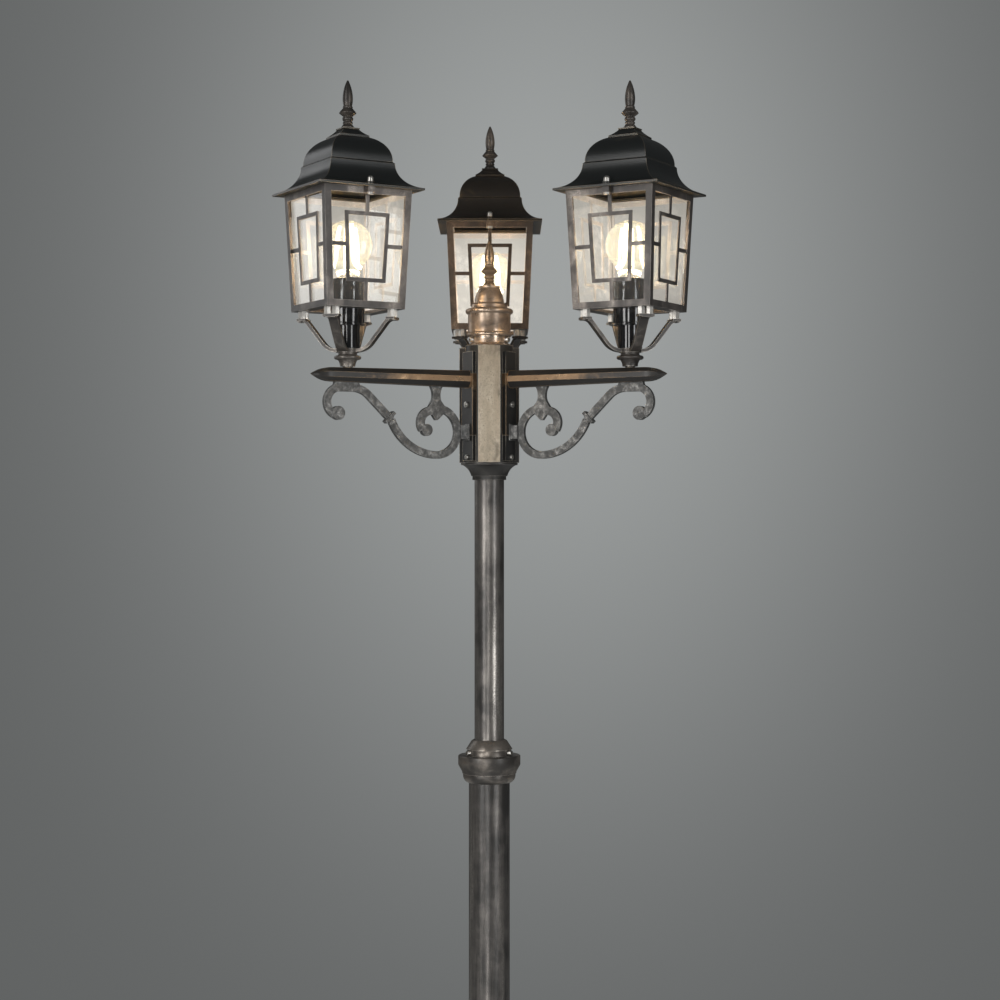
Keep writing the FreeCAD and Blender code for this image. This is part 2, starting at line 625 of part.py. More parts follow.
def hub_cap():
    flare, neck, rim, drum, broad, step, bell, top = cap_levels()
    ring_middle = (CAP_BROAD_RING_D / 2, (drum + broad) / 2)
    bell_middle = ((CAP_BELL_D + CAP_BELL_TOP_D) / 4 + CAP_BELL_SWELL, (step + bell) / 2)
    outside = turned(
        (0, HUB_TOP), (CAP_BASE_D / 2, HUB_TOP), (CAP_NECK_D / 2, flare), (CAP_NECK_D / 2, neck),
        Bend((CAP_RIM_D / 2, (neck + rim) / 2), (CAP_DRUM_D / 2, rim)), (CAP_DRUM_D / 2, drum),
        Bend(ring_middle, (CAP_STEP_D / 2 + CAP_STEP_CHAMFER, broad)),
        (CAP_STEP_D / 2, broad + CAP_STEP_EDGE_H), (CAP_STEP_D / 2, step - CAP_STEP_EDGE_H),
        (CAP_BELL_D / 2, step),
        Bend(bell_middle, (CAP_BELL_TOP_D / 2, bell)), (CAP_LIP_D / 2, bell),
        (CAP_LIP_D / 2, top), (0, top))
    bore_r = HUB_SPIGOT_D / 2 + SLIDE_FIT
    inside = turned(
        (0, HUB_TOP), (bore_r, HUB_TOP), (bore_r, drum), (CAP_BELL_D / 2 - CAP_WALL, step),
        (CAP_BELL_TOP_D / 2 - CAP_WALL, bell - CAP_WALL), (0, bell - CAP_WALL))
    cap = outside.cut(inside).cut(rod(FINIAL_SPIGOT_D, bell - CAP_WALL, top))
    hole = radial_rod(SET_SCREW_D + 2 * SCREW_FIT, 0, CAP_BASE_D, cap_screw_z())
    for cutter in around(hole, ARM_COUNT, ARM_START):
        cap = cap.cut(cutter)
    return cap


# ---------------------------------------------------------------- finials
def finial(base_z):
    """Turned spike on a spigot: base, ring, bead, a hat with two slopes and a long flame."""
    ring = base_z + FINIAL_BASE_H
    groove = ring + FINIAL_RING_H
    bead = groove + FINIAL_GROOVE_H
    under = bead + FINIAL_BEAD_H
    brim = under + FINIAL_HAT_UNDER_H
    hat = brim + FINIAL_HAT_BRIM_H
    flame = hat + FINIAL_HAT_H
    tip = flame + FINIAL_FLAME_H
    neck_r = FINIAL_NECK_D / 2
    swell = (FINIAL_FLAME_D / 2, flame + FINIAL_FLAME_SWELL)
    low_swell = (FINIAL_FLAME_LOW_D / 2, flame + FINIAL_FLAME_SWELL / 2)
    waist = (FINIAL_FLAME_WAIST_D / 2, swell[1] + FINIAL_FLAME_WAIST_AT * (tip - swell[1]))
    collar_z = flame - FINIAL_HAT_RING_DROP
    return turned(
        (0, base_z - FINIAL_SPIGOT_H), (FINIAL_SPIGOT_D / 2, base_z - FINIAL_SPIGOT_H),
        (FINIAL_SPIGOT_D / 2, base_z), (FINIAL_BASE_D / 2, base_z),
        (FINIAL_BASE_D / 2, base_z + FINIAL_BASE_EDGE_H), (neck_r, ring),
        Bend((FINIAL_RING_D / 2, (ring + groove) / 2), (neck_r, groove)), (neck_r, bead),
        Bend((FINIAL_BEAD_D / 2, (bead + under) / 2), (neck_r, under)),
        (FINIAL_HAT_D / 2, brim), (FINIAL_HAT_D / 2, hat),
        (FINIAL_HAT_TOP_D / 2, collar_z), (FINIAL_HAT_RING_D / 2, collar_z + FINIAL_HAT_RING_H),
        (FINIAL_FLAME_FOOT_D / 2, flame),
        Bend(low_swell, swell), Bend(waist, (FINIAL_TIP_D / 2, tip)), (0, tip))


# ---------------------------------------------------------------- arms
def arm_section(x, width, height, scale=1.0):
    """Eight-cornered section across the arm."""
    half_w = scale * width / 2
    half_h = scale * height / 2
    flat = scale * ARM_FLAT_W / 2
    ridge = scale * ARM_RIDGE_H / 2
    corners = [(half_w, ridge), (flat, half_h), (-flat, half_h), (-half_w, ridge),
               (-half_w, -ridge), (-flat, -half_h), (flat, -half_h), (half_w, -ridge)]
    points = [V(x, y, ARM_Z + z) for y, z in corners]
    return Part.makePolygon(points + points[:1])


def arm():
    """Tapering arm with a pointed nose on a root plate, bored for the wires."""
    sections = [arm_section(ARM_BEAM_START, ARM_ROOT_W, ARM_ROOT_H),
                arm_section(ARM_NOSE_START, ARM_END_W, ARM_END_H)]
    beam = Part.makeLoft(sections, True, True)
    nose_sections = []
    for station in range(ARM_NOSE_STATIONS + 1):
        share = station / ARM_NOSE_STATIONS
        scale = max(1 - share ** 2, ARM_NOSE_POINT)
        nose_sections.append(arm_section(ARM_NOSE_START + share * ARM_NOSE_L,
                                         ARM_END_W, ARM_END_H, scale))
    nose = Part.makeLoft(nose_sections, True, True)
    plate_top = ARM_Z + ARM_PLATE_TOP
    plate = block(ARM_PLATE_BACK, ARM_PLATE_FACE, ARM_PLATE_W, plate_top - ARM_PLATE_H, plate_top)
    solid = joined([beam, nose, plate])
    solid = solid.cut(radial_rod(WIREWAY_D, 0, LANTERN_REACH + NIPPLE_D / 2, ARM_Z))
    solid = solid.cut(radial_rod(FIX_SCREW_D + 2 * SCREW_FIT, 0, PILASTER_FACE,
                                 ARM_Z - ARM_SCREW_DROP))
    riser = Part.makeCylinder(NIPPLE_D / 2 + SCREW_FIT, ARM_ROOT_H, V(LANTERN_REACH, 0, ARM_Z))
    return solid.cut(riser)


def arm_top(x):
    """Height of the flat on top of the arm."""
    share = (x - ARM_BEAM_START) / (ARM_NOSE_START - ARM_BEAM_START)
    return ARM_Z + (ARM_ROOT_H + share * (ARM_END_H - ARM_ROOT_H)) / 2


def arm_screws():
    depth = ARM_PLATE_FACE - HUB_CAVITY_D / 2
    screw = radial_screw(ARM_PLATE_FACE, ARM_Z - ARM_SCREW_DROP, FIX_HEAD_D, FIX_HEAD_H,
                         FIX_SCREW_D, depth)
    return around(screw, ARM_COUNT, ARM_START)


# ---------------------------------------------------------------- scrolls
def arc_band(centre, radius, width, start, end):
    """Flat ring sector of the scroll bar between two angles."""
    inner, outer = radius - width / 2, radius + width / 2
    middle = (start + end) / 2
    return face_xz(polar(centre, inner, start), polar(centre, outer, start),
                   Bend(polar(centre, outer, middle), polar(centre, outer, end)),
                   polar(centre, inner, end),
                   Bend(polar(centre, inner, middle), polar(centre, inner, start)))


def straight_band(start, end, width):
    run = math.hypot(end[0] - start[0], end[1] - start[1])
    nx = -(end[1] - start[1]) / run * width / 2
    nz = (end[0] - start[0]) / run * width / 2
    return face_xz((start[0] + nx, start[1] + nz), (end[0] + nx, end[1] + nz),
                   (end[0] - nx, end[1] - nz), (start[0] - nx, start[1] - nz))


def slab(face, thickness):
    solid = face.extrude(V(0, thickness, 0))
    solid.translate(V(0, -thickness / 2, 0))
    return solid


def ball(centre, radius, thickness):
    return Part.makeCylinder(radius, thickness, V(centre[0], -thickness / 2, centre[1]), V(0, 1, 0))


def scroll_places():
    """Centres of the arcs, each tangent to the one before it."""
    loop = (ARM_PLATE_FACE + CLIP_REACH + SCROLL_BAR_W / 2 + SCROLL_LOOP_R,
            ARM_Z - SCROLL_LOOP_DROP)
    sweep = (loop[0], loop[1] - SCROLL_LOOP_R + SCROLL_SWEEP_R)
    sweep_end = polar(sweep, SCROLL_SWEEP_R, SCROLL_SWEEP_TURN - 90)
    crest_z = ARM_Z - SCROLL_CREST_DROP
    rise = math.radians(SCROLL_RISE_ANGLE)
    bend_z = crest_z - SCROLL_CREST_R * (1 - math.cos(rise))
    bend_x = sweep_end[0] + (bend_z - sweep_end[1]) / math.tan(rise)
    crest = (bend_x + SCROLL_CREST_R * math.sin(rise), crest_z - SCROLL_CREST_R)
    curl = (SCROLL_CURL_AT, crest_z - SCROLL_CURL_R)
    hook = (loop[0] + SCROLL_HOOK_OUT, loop[1] + SCROLL_HOOK_UP)
    return loop, sweep, sweep_end, (bend_x, bend_z), crest, curl, hook


def scroll():
    """Flat scrolled brace: loop with a hook and spur, S-sweep with a bead, crest and curl."""
    loop, sweep, sweep_end, bend, crest, curl, hook = scroll_places()
    bar = SCROLL_BAR_W
    level = SCROLL_CREST_R + crest[1]
    faces = [
        arc_band(loop, SCROLL_LOOP_R, bar, SCROLL_LOOP_START, 270),
        arc_band(sweep, SCROLL_SWEEP_R, bar, -90, SCROLL_SWEEP_TURN - 90),
        straight_band(sweep_end, bend, bar),
        arc_band(crest, SCROLL_CREST_R, bar, 90, 90 + SCROLL_RISE_ANGLE),
        straight_band((crest[0], level), (curl[0], level), bar),
        arc_band(curl, SCROLL_CURL_R, bar, SCROLL_CURL_END, 90),
        arc_band(hook, SCROLL_HOOK_R, SCROLL_HOOK_W, SCROLL_HOOK_END, SCROLL_HOOK_START),
        knuckle(loop, hook),
    ]
    pieces = [slab(face, SCROLL_T) for face in faces]
    pieces.append(ball(polar(curl, SCROLL_CURL_R - SCROLL_BALL_INSET, SCROLL_CURL_BALL_ON),
                       SCROLL_CURL_BALL_R, SCROLL_BALL_T))
    pieces.append(ball(polar(hook, SCROLL_HOOK_R - SCROLL_BALL_INSET, SCROLL_HOOK_BALL_ON),
                       SCROLL_HOOK_BALL_R, SCROLL_BALL_T))
    pieces.append(slab(stem(loop), SCROLL_T))
    seat = face_xz((crest[0] - bar, level), (curl[0] + bar, level),
                   (curl[0] + bar * SCROLL_TOE_FRONT, ARM_Z), (crest[0] - bar * SCROLL_TOE_BACK, ARM_Z))
    pieces.append(slab(seat, SCROLL_T))
    pieces.append(slab(bead_bar(sweep_end), SCROLL_BEAD_T))
    whole = joined(pieces)
    beam_space = slab(face_xz((0, ARM_Z), (2 * LANTERN_REACH, ARM_Z),
                              (2 * LANTERN_REACH, arm_underside(2 * LANTERN_REACH)),
                              (0, arm_underside(0))), ARM_ROOT_W)
    return whole.cut(beam_space).removeSplitter()


def arm_underside(x):
    return 2 * ARM_Z - arm_top(x)


def stem(loop):
    """Waisted post between the knuckle and the arm."""
    top, waist = SCROLL_STEM_TOP_W / 2, SCROLL_STEM_WAIST_W / 2
    x, low = loop[0] + SCROLL_STEM_OUT, loop[1] + SCROLL_LOOP_R + SCROLL_BAR_W
    foot, high = SCROLL_STEM_FOOT_W / 2, ARM_Z - ARM_ROOT_H / 2
    neck = (low + high) / 2
    return face_xz((x - top, ARM_Z), (x + top, ARM_Z), (x + top, high),
                   Bend((x + waist, neck), (x + foot, low)), (x - foot, low),
                   Bend((x - waist, neck), (x - top, high)))


def knuckle(loop, hook):
    """Webbed joint of the stem, the loop and the hook, with its pointed spur."""
    crown = loop[1] + SCROLL_LOOP_R
    top = crown + SCROLL_BAR_W
    spread = SCROLL_STEM_FOOT_W / 2
    x = loop[0] + SCROLL_STEM_OUT
    spur, tip = crown - SCROLL_SPUR_L, SCROLL_SPUR_TIP_W / 2
    outer = polar(hook, SCROLL_HOOK_R + SCROLL_HOOK_W / 2 - SCROLL_WEB_INSET, SCROLL_WEB_OUTER)
    inner = polar(hook, SCROLL_HOOK_R - SCROLL_HOOK_W / 2, SCROLL_WEB_INNER)
    return face_xz((x - spread, top), (x + spread, top), outer, inner,
                   (x + tip, spur), (x - tip, spur),
                   (loop[0] - SCROLL_WEB_W, crown - SCROLL_WEB_DROP),
                   (loop[0] - SCROLL_WEB_BACK, crown + SCROLL_WEB_LIFT))


def bead_bar(place):
    """Cross bar that hides the kink where the sweep meets the rise."""
    along = math.radians(SCROLL_RISE_ANGLE + 90)
    half = SCROLL_BEAD_L / 2
    dx, dz = half * math.cos(along), half * math.sin(along)
    x, z = polar(place, SCROLL_BEAD_PAST, SCROLL_RISE_ANGLE + SCROLL_BEAD_TILT)
    return straight_band((x - dx, z - dz), (x + dx, z + dz), SCROLL_BEAD_W)


def scroll_clip(scroll_shape):
    """Block between the root plate and the loop, hollowed to seat the loop."""
    z = ARM_Z - SCROLL_LOOP_DROP
    half = CLIP_H / 2
    base = block(ARM_PLATE_FACE, ARM_PLATE_FACE + CLIP_BASE_T, CLIP_W + 2 * CLIP_BASE_MARGIN,
                 z - half - CLIP_BASE_MARGIN, z + half + CLIP_BASE_MARGIN)
    body = block(ARM_PLATE_FACE, ARM_PLATE_FACE + CLIP_REACH + CLIP_BITE, CLIP_W,
                 z - half, z + half)
    return joined([base, body]).cut(scroll_shape)


# ---------------------------------------------------------------- lantern body
EAVE_Z = arm_top(LANTERN_REACH - BOSS_STUB_D / 2) + CRADLE_H + BODY_H
FLOOR_TOP = FLOOR_T - BODY_H
STUD_OFFSET = BODY_TOP_W / 2 + STUD_OUT
EAVE_W = BODY_TOP_W + 2 * EAVE_OUT
GLASS_FRONT = BODY_WALL + LATTICE_T
GLASS_BACK = GLASS_FRONT + GLASS_T


def half_width(z):
    """Half width of the tapering body at a height under the eave plane."""
    share = (z + BODY_H) / BODY_H
    return (BODY_BOTTOM_W + share * (BODY_TOP_W - BODY_BOTTOM_W)) / 2


def square(half, z):
    corners = [V(half, half, z), V(-half, half, z), V(-half, -half, z), V(half, -half, z)]
    return Part.makePolygon(corners + corners[:1])


def frustum(inset, low, high):
    """Solid that follows the taper of the body, drawn in from its sides."""
    ends = [square(half_width(z) - inset, z) for z in (low, high)]
    return Part.makeLoft(ends, True, True)


def wall_layer(near, far, low, high):
    return frustum(near, low, high).cut(frustum(far, low, high))


def side_prism(low_half, high_half, low, high):
    """Upright trapezoid pushed out through the +X side."""
    corners = [V(0, -low_half, low), V(0, low_half, low), V(0, high_half, high), V(0, -high_half, high)]
    return Part.Face(Part.makePolygon(corners + corners[:1])).extrude(V(BODY_TOP_W, 0, 0))


def tapered_prism(margin, low, high):
    """The same, with edges a margin in from the corners of the body."""
    return side_prism(half_width(low) - margin, half_width(high) - margin, low, high)


def pad_places():
    """The stand-off screws, two on each pad of the cradle."""
    middle = half_width(-BODY_H) - PAD_INSET
    shift = STANDOFF_SPREAD / math.sqrt(2)
    first = [V(middle - shift, middle + shift, 0), V(middle + shift, middle - shift, 0)]
    places = []
    for quarter in range(4):
        turn = FreeCAD.Rotation(V(0, 0, 1), 90 * quarter)
        places += [turn.multVec(place) for place in first]
    return places


def body_frame():
    """Open cage: four angle posts between two rails, with a floor ring and two roof lugs."""
    cage = frustum(0, -BODY_H, 0).cut(frustum(BODY_WALL, FLOOR_TOP, 0))
    cage = cage.cut(Part.makeBox(FLOOR_OPENING_W, FLOOR_OPENING_W, BODY_H,
                                 V(-FLOOR_OPENING_W / 2, -FLOOR_OPENING_W / 2, -BODY_H)))
    window = tapered_prism(CORNER_LEG_W, BOTTOM_RAIL_H - BODY_H, -TOP_RAIL_H)
    for cutter in around(window, 4):
        cage = cage.cut(cutter)
    stop = GLASS_BACK + GLASS_FIT
    stops = wall_layer(stop, stop + PANE_STOP_T, FLOOR_TOP, FLOOR_TOP + PANE_STOP_H)
    lug = block(half_width(-LUG_H) - BODY_WALL, BODY_TOP_W / 2 + LUG_OUT, LUG_W, -LUG_H, 0)
    lug = lug.cut(frustum(BODY_WALL, -BODY_H, 0))
    cage = joined([cage, stops] + around(lug, 2, 90))
    for y in (-STUD_OFFSET, STUD_OFFSET):
        cage = cage.cut(Part.makeCylinder(STUD_D / 2 + SCREW_FIT, LUG_H, V(0, y, -LUG_H)))
    for place in pad_places():
        hole = Part.makeCylinder(STANDOFF_SCREW_D / 2 + SCREW_FIT, FLOOR_T, place - V(0, 0, BODY_H))
        cage = cage.cut(hole)
    return cage


def roof_studs():
    """Screws up through the lugs that the roof drops over."""
    studs = []
    for y in (-STUD_OFFSET, STUD_OFFSET):
        shank = Part.makeCylinder(STUD_D / 2, LUG_H + STUD_BOSS_H + STUD_IN_NUT, V(0, y, -LUG_H))
        head = Part.makeCylinder(FIX_HEAD_D / 2, FIX_HEAD_H, V(0, y, -LUG_H - FIX_HEAD_H))
        studs.append(shank.fuse(head).removeSplitter())
    return studs


def pane_lattices():
    """Hollow rectangle with four stubs tucked behind the rails and posts of each side."""
    high = -LATTICE_TOP_DROP
    low = high - LATTICE_H
    bar = LATTICE_BAR_W
    outline = tapered_prism(LATTICE_MARGIN, low, high)
    hole = tapered_prism(LATTICE_MARGIN + bar, low + bar, high - bar)
    upright = side_prism(bar / 2, bar / 2, BOTTOM_RAIL_H - BODY_H - LATTICE_TUCK,
                         LATTICE_TUCK - TOP_RAIL_H)
    cross = tapered_prism(CORNER_LEG_W - LATTICE_TUCK, -LATTICE_STUB_DROP - bar / 2,
                          bar / 2 - LATTICE_STUB_DROP)
    elevation = outline.multiFuse([upright, cross]).cut(hole)
    layer = wall_layer(BODY_WALL, GLASS_FRONT, FLOOR_TOP, 0)
    return around(layer.common(elevation).removeSplitter(), 4)


def glass_panes():
    layer = wall_layer(GLASS_FRONT, GLASS_BACK, FLOOR_TOP, -GLASS_TOP_DROP)
    return around(layer.common(tapered_prism(GLASS_BACK + GLASS_FIT, FLOOR_TOP, -GLASS_TOP_DROP)), 4)


# ---------------------------------------------------------------- roof
def tangent_radius(across, up):
    """Radius of an arc that starts upright and gains this much width and height."""
    return (across ** 2 + up ** 2) / (2 * across)


def square_form(start, *path):
    """Mitred solid of square plan whose every side shows one outline."""
    half = slab(face_xz(start, *path), 2 * EAVE_W)
    whole = half.fuse(half.mirror(V(0, 0, 0), V(1, 0, 0))).removeSplitter()
    return whole.common(turned_to(whole, 90))


def arc_point(centre, radius, z, side):
    """Point of an arc at a height, on its left (-1) or right (1)."""
    return (centre[0] + side * math.sqrt(radius ** 2 - (z - centre[1]) ** 2), z)


def roof_levels():
    dome_z = SKIRT_H + DOME_STEP_H
    crown_z = dome_z + DOME_H + CROWN_STEP_H
    plate_z = crown_z + CROWN_H
    return dome_z, crown_z, plate_z, plate_z + CROWN_PLATE_H


def roof():
    """Square ogee shell: hollow skirt, rounded dome, small crown and a flat eave plate."""
    dome_z, crown_z, plate_z, top_z = roof_levels()
    skirt_r = tangent_radius((EAVE_W - SKIRT_TOP_W) / 2, SKIRT_H - EAVE_T)
    skirt = (SKIRT_TOP_W / 2 + skirt_r, SKIRT_H)
    dome_r = tangent_radius((DOME_BASE_W - DOME_TOP_W) / 2, DOME_H)
    dome = (DOME_BASE_W / 2 - dome_r, dome_z)
    crown_middle = ((CROWN_BASE_W + CROWN_TOP_W) / 4 - CROWN_HOLLOW, (crown_z + plate_z) / 2)
    dome_top = dome_z + DOME_H
    outside = square_form(
        (0, 0), (EAVE_W / 2, 0), (EAVE_W / 2, EAVE_T),
        Bend(arc_point(skirt, skirt_r, SKIRT_H / 2, -1), (SKIRT_TOP_W / 2, SKIRT_H)),
        (DOME_BASE_W / 2, dome_z - DOME_EDGE_H), (DOME_BASE_W / 2, dome_z),
        Bend(arc_point(dome, dome_r, dome_z + DOME_H / 2, 1), (DOME_TOP_W / 2, dome_top)),
        (CROWN_BASE_W / 2, dome_top + CROWN_SLOPE_H), (CROWN_BASE_W / 2, crown_z),
        Bend(crown_middle, (CROWN_TOP_W / 2, plate_z)), (CROWN_PLATE_W / 2, plate_z),
        (CROWN_PLATE_W / 2, top_z), (0, top_z))
    opening = half_width(0) - GLASS_BACK - ROOF_SEAT_LAP
    wall = ROOF_WALL
    inner_top = dome_top - CROWN_WALL_DROP
    inside = square_form(
        (0, 0), (opening, 0), (opening, EAVE_T), arc_point(skirt, skirt_r + wall, EAVE_T, -1),
        Bend(arc_point(skirt, skirt_r + wall, SKIRT_H / 2, -1),
             arc_point(skirt, skirt_r + wall, SKIRT_H - wall, -1)),
        (DOME_BASE_W / 2 - wall, dome_z - DOME_EDGE_H - wall), (DOME_BASE_W / 2 - wall, dome_z),
        Bend(arc_point(dome, dome_r - wall, dome_z + DOME_H / 2, 1),
             arc_point(dome, dome_r - wall, inner_top, 1)),
        (CROWN_TOP_W / 2 - wall, plate_z - wall), (0, plate_z - wall))
    bosses = [Part.makeCylinder(STUD_BOSS_D / 2, STUD_BOSS_H, V(0, y, 0))
              for y in (-STUD_OFFSET, STUD_OFFSET)]
    shell = joined([outside.cut(inside)] + bosses)
    for y in (-STUD_OFFSET, STUD_OFFSET):
        shell = shell.cut(Part.makeCylinder(STUD_D / 2 + STUD_FIT, STUD_BOSS_H, V(0, y, 0)))
        above = Part.makeCylinder(NUT_D / 2 + STUD_FIT, SKIRT_H, V(0, y, STUD_BOSS_H))
        shell = shell.cut(above)
    return shell.cut(rod(FINIAL_SPIGOT_D, plate_z - wall, top_z))


def roof_nuts():
    """Domed nuts that hold the roof down on its studs."""
    dome_z = STUD_BOSS_H + NUT_SKIRT_H
    top_z = dome_z + NUT_DOME_H
    dome_r = tangent_radius(NUT_DOME_H, NUT_D / 2)
    shoulder = arc_point((0, top_z - dome_r), dome_r, dome_z + NUT_DOME_H / 2, 1)
    bore_r = STUD_D / 2 + STUD_FIT
    nut = turned((bore_r, STUD_BOSS_H), (NUT_D / 2, STUD_BOSS_H), (NUT_D / 2, dome_z),
                 Bend(shoulder, (0, top_z)), (0, STUD_BOSS_H + NUT_BORE_H),
                 (bore_r, STUD_BOSS_H + NUT_BORE_H))
    nuts = []
    for y in (-STUD_OFFSET, STUD_OFFSET):
        copy = nut.copy()
        copy.translate(V(0, y, 0))
        nuts.append(copy)
    return nuts


# ---------------------------------------------------------------- cradle, holder and bulb
CRADLE_FOOT = -BODY_H - CRADLE_H
BOSS_TOP = CRADLE_FOOT + BOSS_STUB_H + BOSS_CUP_H + BOSS_RING_H + BOSS_NECK_H + BOSS_TOP_H
PAD_TOP = -BODY_H - STANDOFF_H
HOLDER_STEP = BOSS_TOP + HOLDER_STEM_H
HOLDER_TOP = HOLDER_STEP + HOLDER_H
CAP_EDGE = HOLDER_TOP - BULB_CAP_SUNK


def cradle_leg():
    """Strap that leaves the boss level, sweeps up and flares out under its pad."""
    level = BOSS_TOP - BOSS_TOP_H / 2
    rise = math.radians(LEG_RISE_ANGLE)
    top = PAD_TOP - LEG_T / 2
    bowl = (LEG_LEVEL_L, level + LEG_BOWL_R)
    bowl_end = polar(bowl, LEG_BOWL_R, LEG_RISE_ANGLE - 90)
    flare_drop = LEG_FLARE_R * (1 - math.cos(rise))
    run_up = top - flare_drop - bowl_end[1]
    flare_start = (bowl_end[0] + run_up / math.tan(rise), top - flare_drop)
    flare = (flare_start[0] + LEG_FLARE_R * math.sin(rise), top - LEG_FLARE_R)
    pad_middle = math.sqrt(2) * (half_width(-BODY_H) - PAD_INSET)
    pad_end = pad_middle + PAD_L / 2
    faces = [straight_band((0, level), (LEG_LEVEL_L, level), LEG_T),
             arc_band(bowl, LEG_BOWL_R, LEG_T, -90, LEG_RISE_ANGLE - 90),
             straight_band(bowl_end, flare_start, LEG_T),
             arc_band(flare, LEG_FLARE_R, LEG_T, 90, 90 + LEG_RISE_ANGLE),
             straight_band((flare[0], top), (pad_end, top), LEG_T)]
    pad = block(pad_end - PAD_L, pad_end, PAD_W, PAD_TOP - PAD_T, PAD_TOP)
    return joined([slab(face, LEG_W) for face in faces] + [pad])


def cradle():
    """Turned boss on the arm with four strap legs up to the lantern floor."""
    cup_z = CRADLE_FOOT + BOSS_STUB_H
    ring_z = cup_z + BOSS_CUP_H
    neck_z = ring_z + BOSS_RING_H
    plate_z = neck_z + BOSS_NECK_H
    cup_middle = ((BOSS_FOOT_D + BOSS_CUP_D) / 4 - BOSS_CUP_HOLLOW, (cup_z + ring_z) / 2)
    ring_middle = (BOSS_RING_D / 2, (ring_z + neck_z) / 2)
    boss = turned(
        (0, CRADLE_FOOT), (BOSS_STUB_D / 2, CRADLE_FOOT), (BOSS_STUB_D / 2, cup_z),
        (BOSS_FOOT_D / 2, cup_z), Bend(cup_middle, (BOSS_CUP_D / 2, ring_z)),
        Bend(ring_middle, (BOSS_NECK_D / 2 + BOSS_RING_STEP, neck_z)),
        (BOSS_NECK_D / 2, neck_z + BOSS_RING_STEP), (BOSS_NECK_D / 2, plate_z),
        (BOSS_TOP_D / 2, plate_z), (BOSS_TOP_D / 2, BOSS_TOP), (0, BOSS_TOP))
    whole = joined([boss] + around(cradle_leg(), 4, 45))
    whole = whole.cut(rod(NIPPLE_D + 2 * SCREW_FIT, CRADLE_FOOT, BOSS_TOP))
    for place in pad_places():
        hole = Part.makeCylinder(STANDOFF_SCREW_D / 2 + SCREW_FIT, LEG_T, place + V(0, 0, PAD_TOP - LEG_T))
        whole = whole.cut(hole)
    return whole


def cradle_standoffs():
    """Hexagonal spacers with screws through the pad and the lantern floor."""
    corner = STANDOFF_FLATS / math.sqrt(3)
    flats = [V(*polar((0, 0), corner, 60 * k), PAD_TOP) for k in range(6)]
    hexagon = Part.Face(Part.makePolygon(flats + flats[:1])).extrude(V(0, 0, STANDOFF_H))
    screw = rod(STANDOFF_SCREW_D, PAD_TOP - PAD_T, FLOOR_TOP)
    spacer = joined([hexagon, screw])
    spacers = []
    for place in pad_places():
        copy = spacer.copy()
        copy.translate(place)
        spacers.append(copy)
    return spacers


def lamp_nipple():
    """Threaded tube from the arm through the boss into the holder; the wires run up it."""
    low = ARM_Z - EAVE_Z
    return tube(NIPPLE_D, NIPPLE_BORE_D, low, BOSS_TOP + NIPPLE_IN_HOLDER)


def lamp_holder():
    """Screw lamp holder: stem with a wiring chamber, barrel with the lamp socket."""
    floor = CAP_EDGE - BULB_CAP_H - BULB_TIP_H - REST_GAP
    r, chamfer = HOLDER_D / 2, HOLDER_CHAMFER
    groove_r = r - HOLDER_GROOVE_DEPTH
    groove_z = HOLDER_STEP + HOLDER_GROOVE_RISE
    outside = turned(
        (0, BOSS_TOP), (HOLDER_STEM_D / 2, BOSS_TOP), (HOLDER_STEM_D / 2, HOLDER_STEP),
        (r, HOLDER_STEP), (r, groove_z), (groove_r, groove_z),
        (groove_r, groove_z + HOLDER_GROOVE_W), (r, groove_z + HOLDER_GROOVE_W),
        (r, HOLDER_TOP - chamfer), (r - chamfer, HOLDER_TOP), (0, HOLDER_TOP))
    socket = rod(BULB_CAP_D + 2 * BULB_FIT, floor, HOLDER_TOP)
    chamber = rod(HOLDER_CHAMBER_D, BOSS_TOP + NIPPLE_IN_HOLDER, floor - HOLDER_FLOOR_T)
    entry = rod(NIPPLE_D + 2 * SCREW_FIT, BOSS_TOP, BOSS_TOP + NIPPLE_IN_HOLDER)
    return outside.cut(socket).cut(chamber).cut(entry)


def bulb_cap():
    low = CAP_EDGE - BULB_CAP_H
    return turned((0, low - BULB_TIP_H), (BULB_TIP_D / 2, low - BULB_TIP_H),
                  (BULB_TIP_D / 2 + BULB_TIP_SPREAD, low), (BULB_CAP_D / 2, low + BULB_CAP_CHAMFER),
                  (BULB_CAP_D / 2, CAP_EDGE), (0, CAP_EDGE))


def bulb_outline(inset):
    """Neck and round part of a pear-shaped lamp, drawn in by the glass."""
    centre = (0, CAP_EDGE + BULB_GLASS_H - BULB_D / 2)
    radius = BULB_D / 2 - inset
    neck_r = BULB_CAP_D / 2 - inset
    joint = polar(centre, radius, BULB_TANGENT)
    neck_top = CAP_EDGE + BULB_NECK_H
    waist = (neck_r + BULB_NECK_HOLLOW * (joint[0] - neck_r), (neck_top + joint[1]) / 2)
    return [(neck_r, CAP_EDGE), (neck_r, neck_top), Bend(waist, joint),
            Bend(polar(centre, radius, BULB_SHOULDER), (0, centre[1] + radius))]


def bulb_glass():
    outer = turned((0, CAP_EDGE), *bulb_outline(0))
    return outer.cut(turned((0, CAP_EDGE), *bulb_outline(BULB_GLASS_T)))


# ---------------------------------------------------------------- assembly
def placed(shapes, side):
    """Lantern pieces from their own axis to the end of one arm."""
    moved = []
    for shape in shapes:
        copy = turned_to(shape, LANTERN_TURNS[side])
        copy.translate(V(LANTERN_REACH, 0, EAVE_Z))
        copy.rotate(V(0, 0, 0), V(0, 0, 1), ARM_BEARINGS[side])
        moved.append(copy)
    return moved


